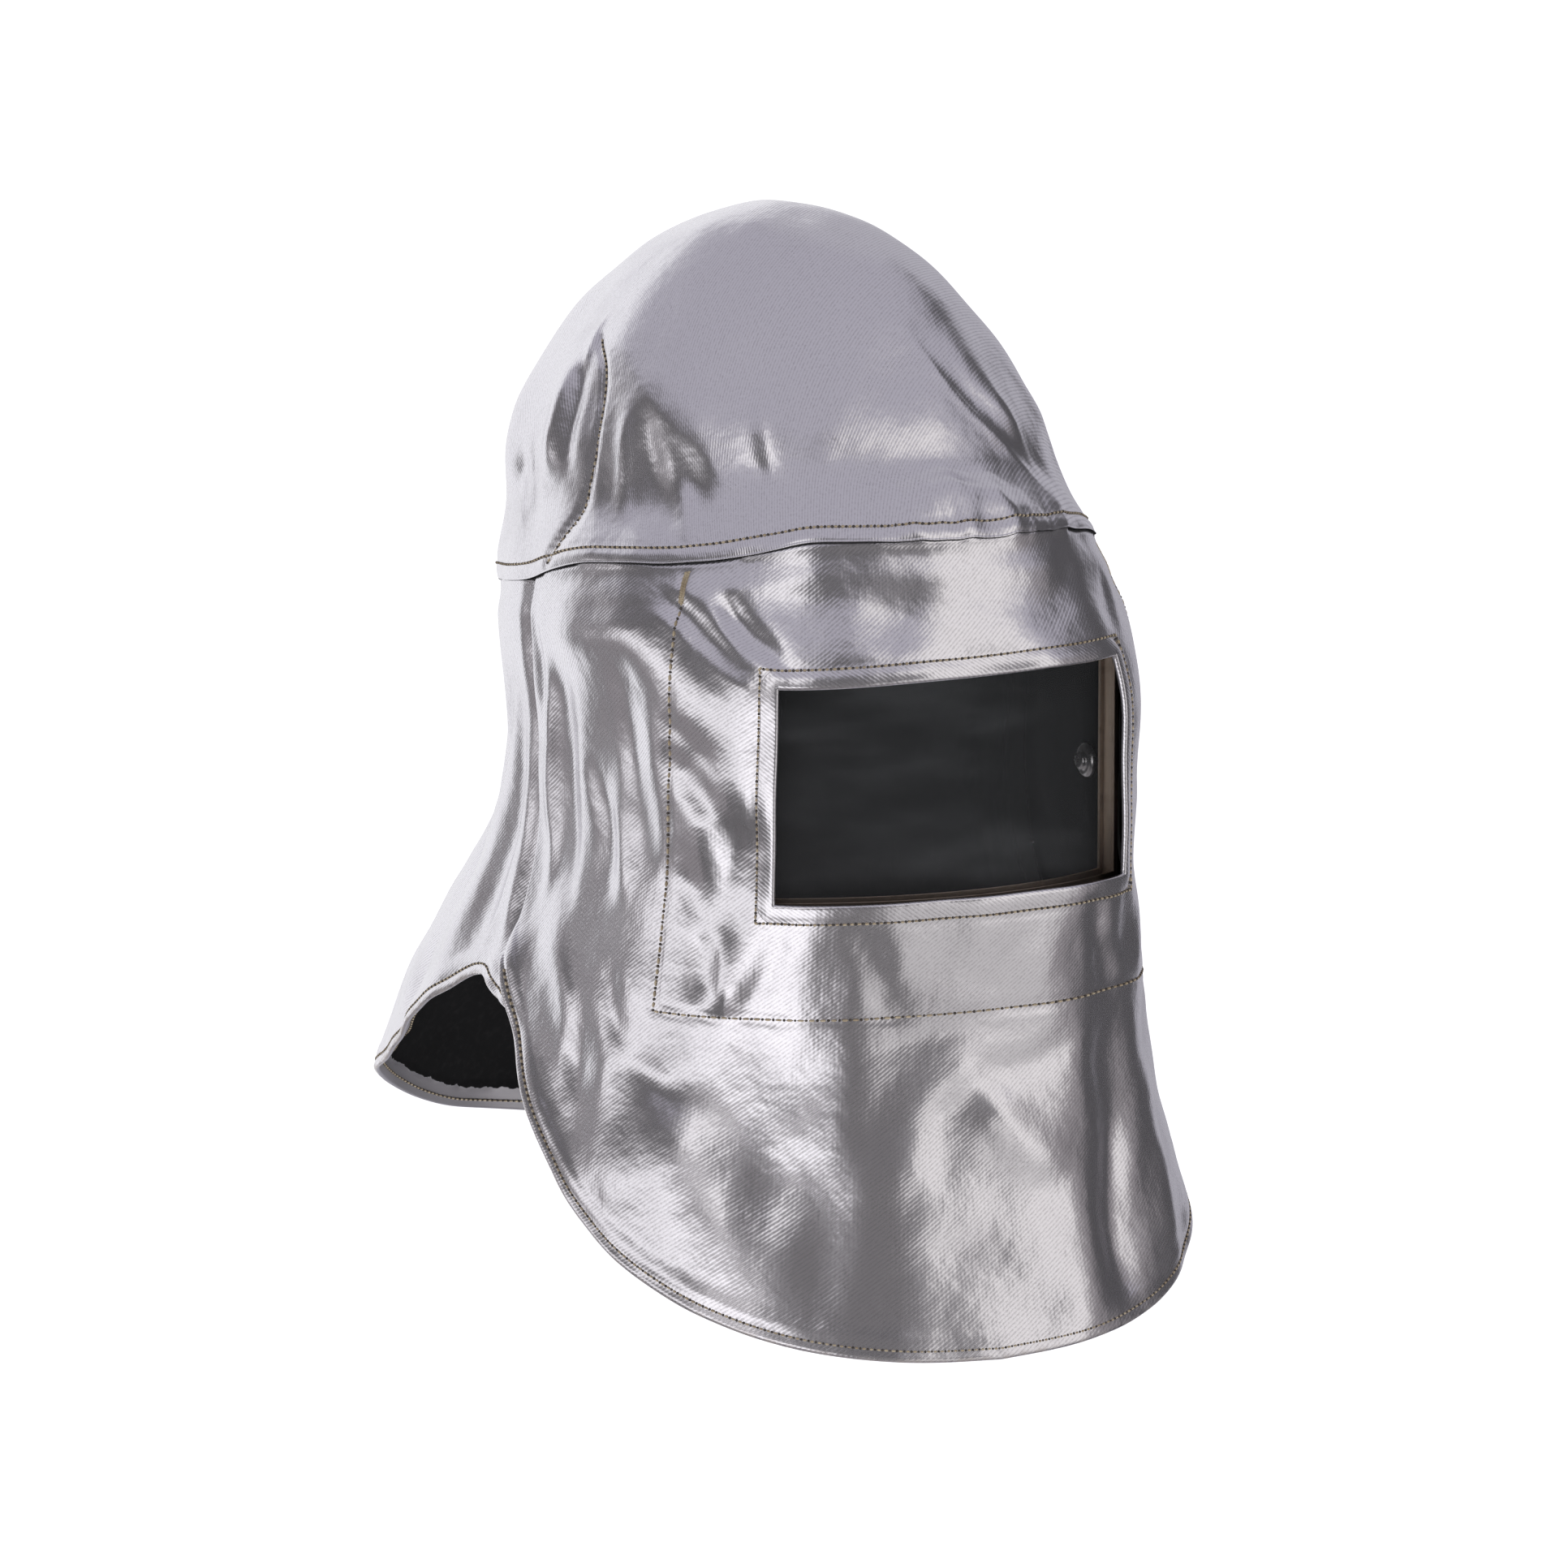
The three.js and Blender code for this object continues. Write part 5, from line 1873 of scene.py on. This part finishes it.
@dataclass
class Studio:
    """Pale floor, soft light from all round and the camera."""

    azimuth: float = -28.0
    elevation: float = 9.0
    distance: float = 3.5
    target: tuple[float, float, float] = (0.0, 0.0067, -0.25)
    frame_width: float = 0.6779
    sensor: float = 36.0
    floor_drop: float = -0.9
    floor_reach: float = 60.0
    floor_tones: tuple[Colour, Colour] = ((0.86, 0.86, 0.86, 1), (0.9, 0.9, 0.9, 1))
    floor_roughness: float = 0.9
    floor_glow: float = 0.80
    floor_scale: float = 0.8
    white: Colour = (1, 1, 1, 1)
    ceiling: Colour = (0.410, 0.398, 0.448, 1)
    room: Colour = (0.215, 0.198, 0.204, 1)
    # Sine of the elevation at which the ceiling starts and is full.
    ceiling_from: float = 0.28
    ceiling_full: float = 0.46
    softboxes: tuple[Softbox, ...] = (
        Softbox(-54, 27, -30, 3, 5, 1.22, (1.0, 0.985, 1.0)),
        Softbox(-98, 25, -9, 9, 4, 1.02, (1.0, 0.985, 1.0)),
        Softbox(-88, 16, -60, -12, 4, 0.08, (1.0, 0.95, 0.97)),
        Softbox(-44, 19, 14, 44, 5, 1.05, (1.0, 0.98, 0.98)),
        Softbox(-98, 35, 12, 35, 4, 0.09, (1.0, 0.95, 0.97)),
        Softbox(33, 19, -30, 44, 5, 0.86, (1.0, 0.97, 0.95)),
        Softbox(30, 22, -40, -7, 4, 0.52, (1.0, 0.97, 0.96)),
        Softbox(-6, 34, 1, 28, 3, 0.18, (1.0, 0.96, 0.99)),
        Softbox(-143, 7, -60, 8, 5, 0.09, (1.0, 0.95, 0.97)),
        Softbox(-7, 14, -60, 20, 5, 0.13, (1.0, 0.95, 0.96)),
        Softbox(-7, 14, 24, 44, 5, 0.06, (1.0, 0.95, 0.95)),
        Softbox(96, 22, -60, 38, 5, 0.055, (1.0, 0.96, 1.02)),
        Softbox(136, 21, -60, 60, 6, 0.46, (0.97, 0.95, 1.04)),
        Softbox(182, 33, -34, 34, 6, 0.93, (0.98, 0.98, 1.0)),
    )

    def light(self) -> None:
        """Makes the world: a lilac ceiling, a dim room and the softboxes."""
        world = bpy.data.worlds.new("studio")
        world.use_nodes = True
        bpy.context.scene.world = world
        net = NodeNet(world.node_tree)
        way = net.add("ShaderNodeTexCoord", {}, {}, "Generated")
        x, y, z = net.split(way)
        flat = (x * x + y * y + 1e-5) ** 0.5
        tone = net.mix(z.step(self.ceiling_from, self.ceiling_full), self.room, self.ceiling)
        for box in self.softboxes:
            turn = box.azimuth * DEG
            facing = (x * math.sin(turn) - y * math.cos(turn)) / flat
            wide = facing.step(math.cos((box.half_width + box.soft) * DEG),
                               math.cos(max(box.half_width - box.soft, 0) * DEG))
            tall = z.step(math.sin((box.low - box.soft) * DEG), math.sin((box.low + box.soft) * DEG))
            tall = tall * z.step(math.sin((box.high + box.soft) * DEG), math.sin((box.high - box.soft) * DEG))
            glow = (*(box.strength * c for c in box.tint), 1.0)
            tone = net.mix(wide * tall, tone, glow)
        lit = net.add("ShaderNodeBackground", {}, {"Color": tone, "Strength": 1.0})
        plain = net.add("ShaderNodeBackground", {}, {"Color": self.white, "Strength": 1.0})
        seen = net.add("ShaderNodeLightPath", {}, {}, "Is Camera Ray")
        both = net.add("ShaderNodeMixShader", {}, {0: seen, 1: lit, 2: plain})
        net.add("ShaderNodeOutputWorld", {}, {"Surface": both})
        bpy.context.scene.view_settings.view_transform = "Standard"

    def floor(self) -> bpy.types.Object:
        """Makes the pale floor, which the cloth doesn't mirror."""
        reach, z = self.floor_reach, self.floor_drop
        mesh = bpy.data.meshes.new("floor")
        mesh.from_pydata([(-reach, -reach, z), (reach, -reach, z), (reach, reach, z), (-reach, reach, z)],
                         [], [(0, 1, 2, 3)])
        material, net = new_material("pale_floor")
        cloudy = net.noise(net.place(), self.floor_scale, 2.0)
        principled(net, {
            "Base Color": net.mix(cloudy, *self.floor_tones),
            "Roughness": self.floor_roughness,
            "Emission Color": self.white,
            "Emission Strength": self.floor_glow,
        })
        mesh.materials.append(material)
        made = bpy.data.objects.new("floor", mesh)
        bpy.context.scene.collection.objects.link(made)
        made.visible_glossy = False
        return made

    def camera(self) -> bpy.types.Object:
        """Makes the camera at the photograph's angle."""
        a, e = self.azimuth * DEG, self.elevation * DEG
        back = Vector((math.sin(a) * math.cos(e), -math.cos(a) * math.cos(e), math.sin(e)))
        lens = bpy.data.cameras.new("camera")
        lens.sensor_width = self.sensor
        lens.lens = self.sensor * self.distance / self.frame_width
        made = bpy.data.objects.new("camera", lens)
        bpy.context.scene.collection.objects.link(made)
        made.location = Vector(self.target) + back * self.distance
        made.rotation_mode = "QUATERNION"
        made.rotation_quaternion = (-back).to_track_quat("-Z", "Y")
        bpy.context.scene.camera = made
        return made


def main() -> None:
    """Builds the hood piece by piece, then the studio round it."""
    logging.basicConfig(level=logging.INFO, format="%(name)s: %(message)s")
    finishes = Finishes()
    crown, face, cape, visor, stud = Crown(), FacePanel(), BackCape(), Visor(), PressStud()
    sewing = Stitching()
    tree = sewing.tree("lay_stitches", finishes.thread, finishes.hole)
    dense = sewing.tree("lay_tacks", finishes.thread, None)

    crown_cloth = dress(crown.build(finishes), "aluminised_cloth", "crown")
    crown_stitches = dress(sewing.build("crown_stitches", crown.runs(), tree, crown.stitch_pitch), None)
    face_cloth = dress(face.build(finishes), "aluminised_cloth", "face_panel")
    face_stitches = dress(sewing.build("face_stitches", face.runs(), tree), None)
    pocket_stitches = dress(
        sewing.build("pocket_stitches", face.pocket_runs(), tree, face.pocket_pitch), None)
    pocket_tacks = dress(
        sewing.build("pocket_tacks", face.tacks(), dense, face.tack_pitch, face.tack_share), None)
    cape_cloth = dress(cape.build(finishes), "aluminised_cloth", "back_cape")
    cape_stitches = dress(sewing.build("cape_stitches", cape.runs(), tree), None)
    pocket = dress(visor.pocket(finishes), "black_cloth", "visor_pocket")
    dress(visor.frame(finishes), "frame_metal", "visor_frame")
    dress(visor.pane(finishes), "clear_pane", "visor_pane")
    dress(stud.build(1.0, "stud_left", finishes), "stud_metal", "press_stud_left")
    dress(stud.build(-1.0, "stud_right", finishes), "stud_metal", "press_stud_right")

    studio = Studio()
    studio.floor()
    studio.light()
    studio.camera()


if __name__ == "__main__":
    main()
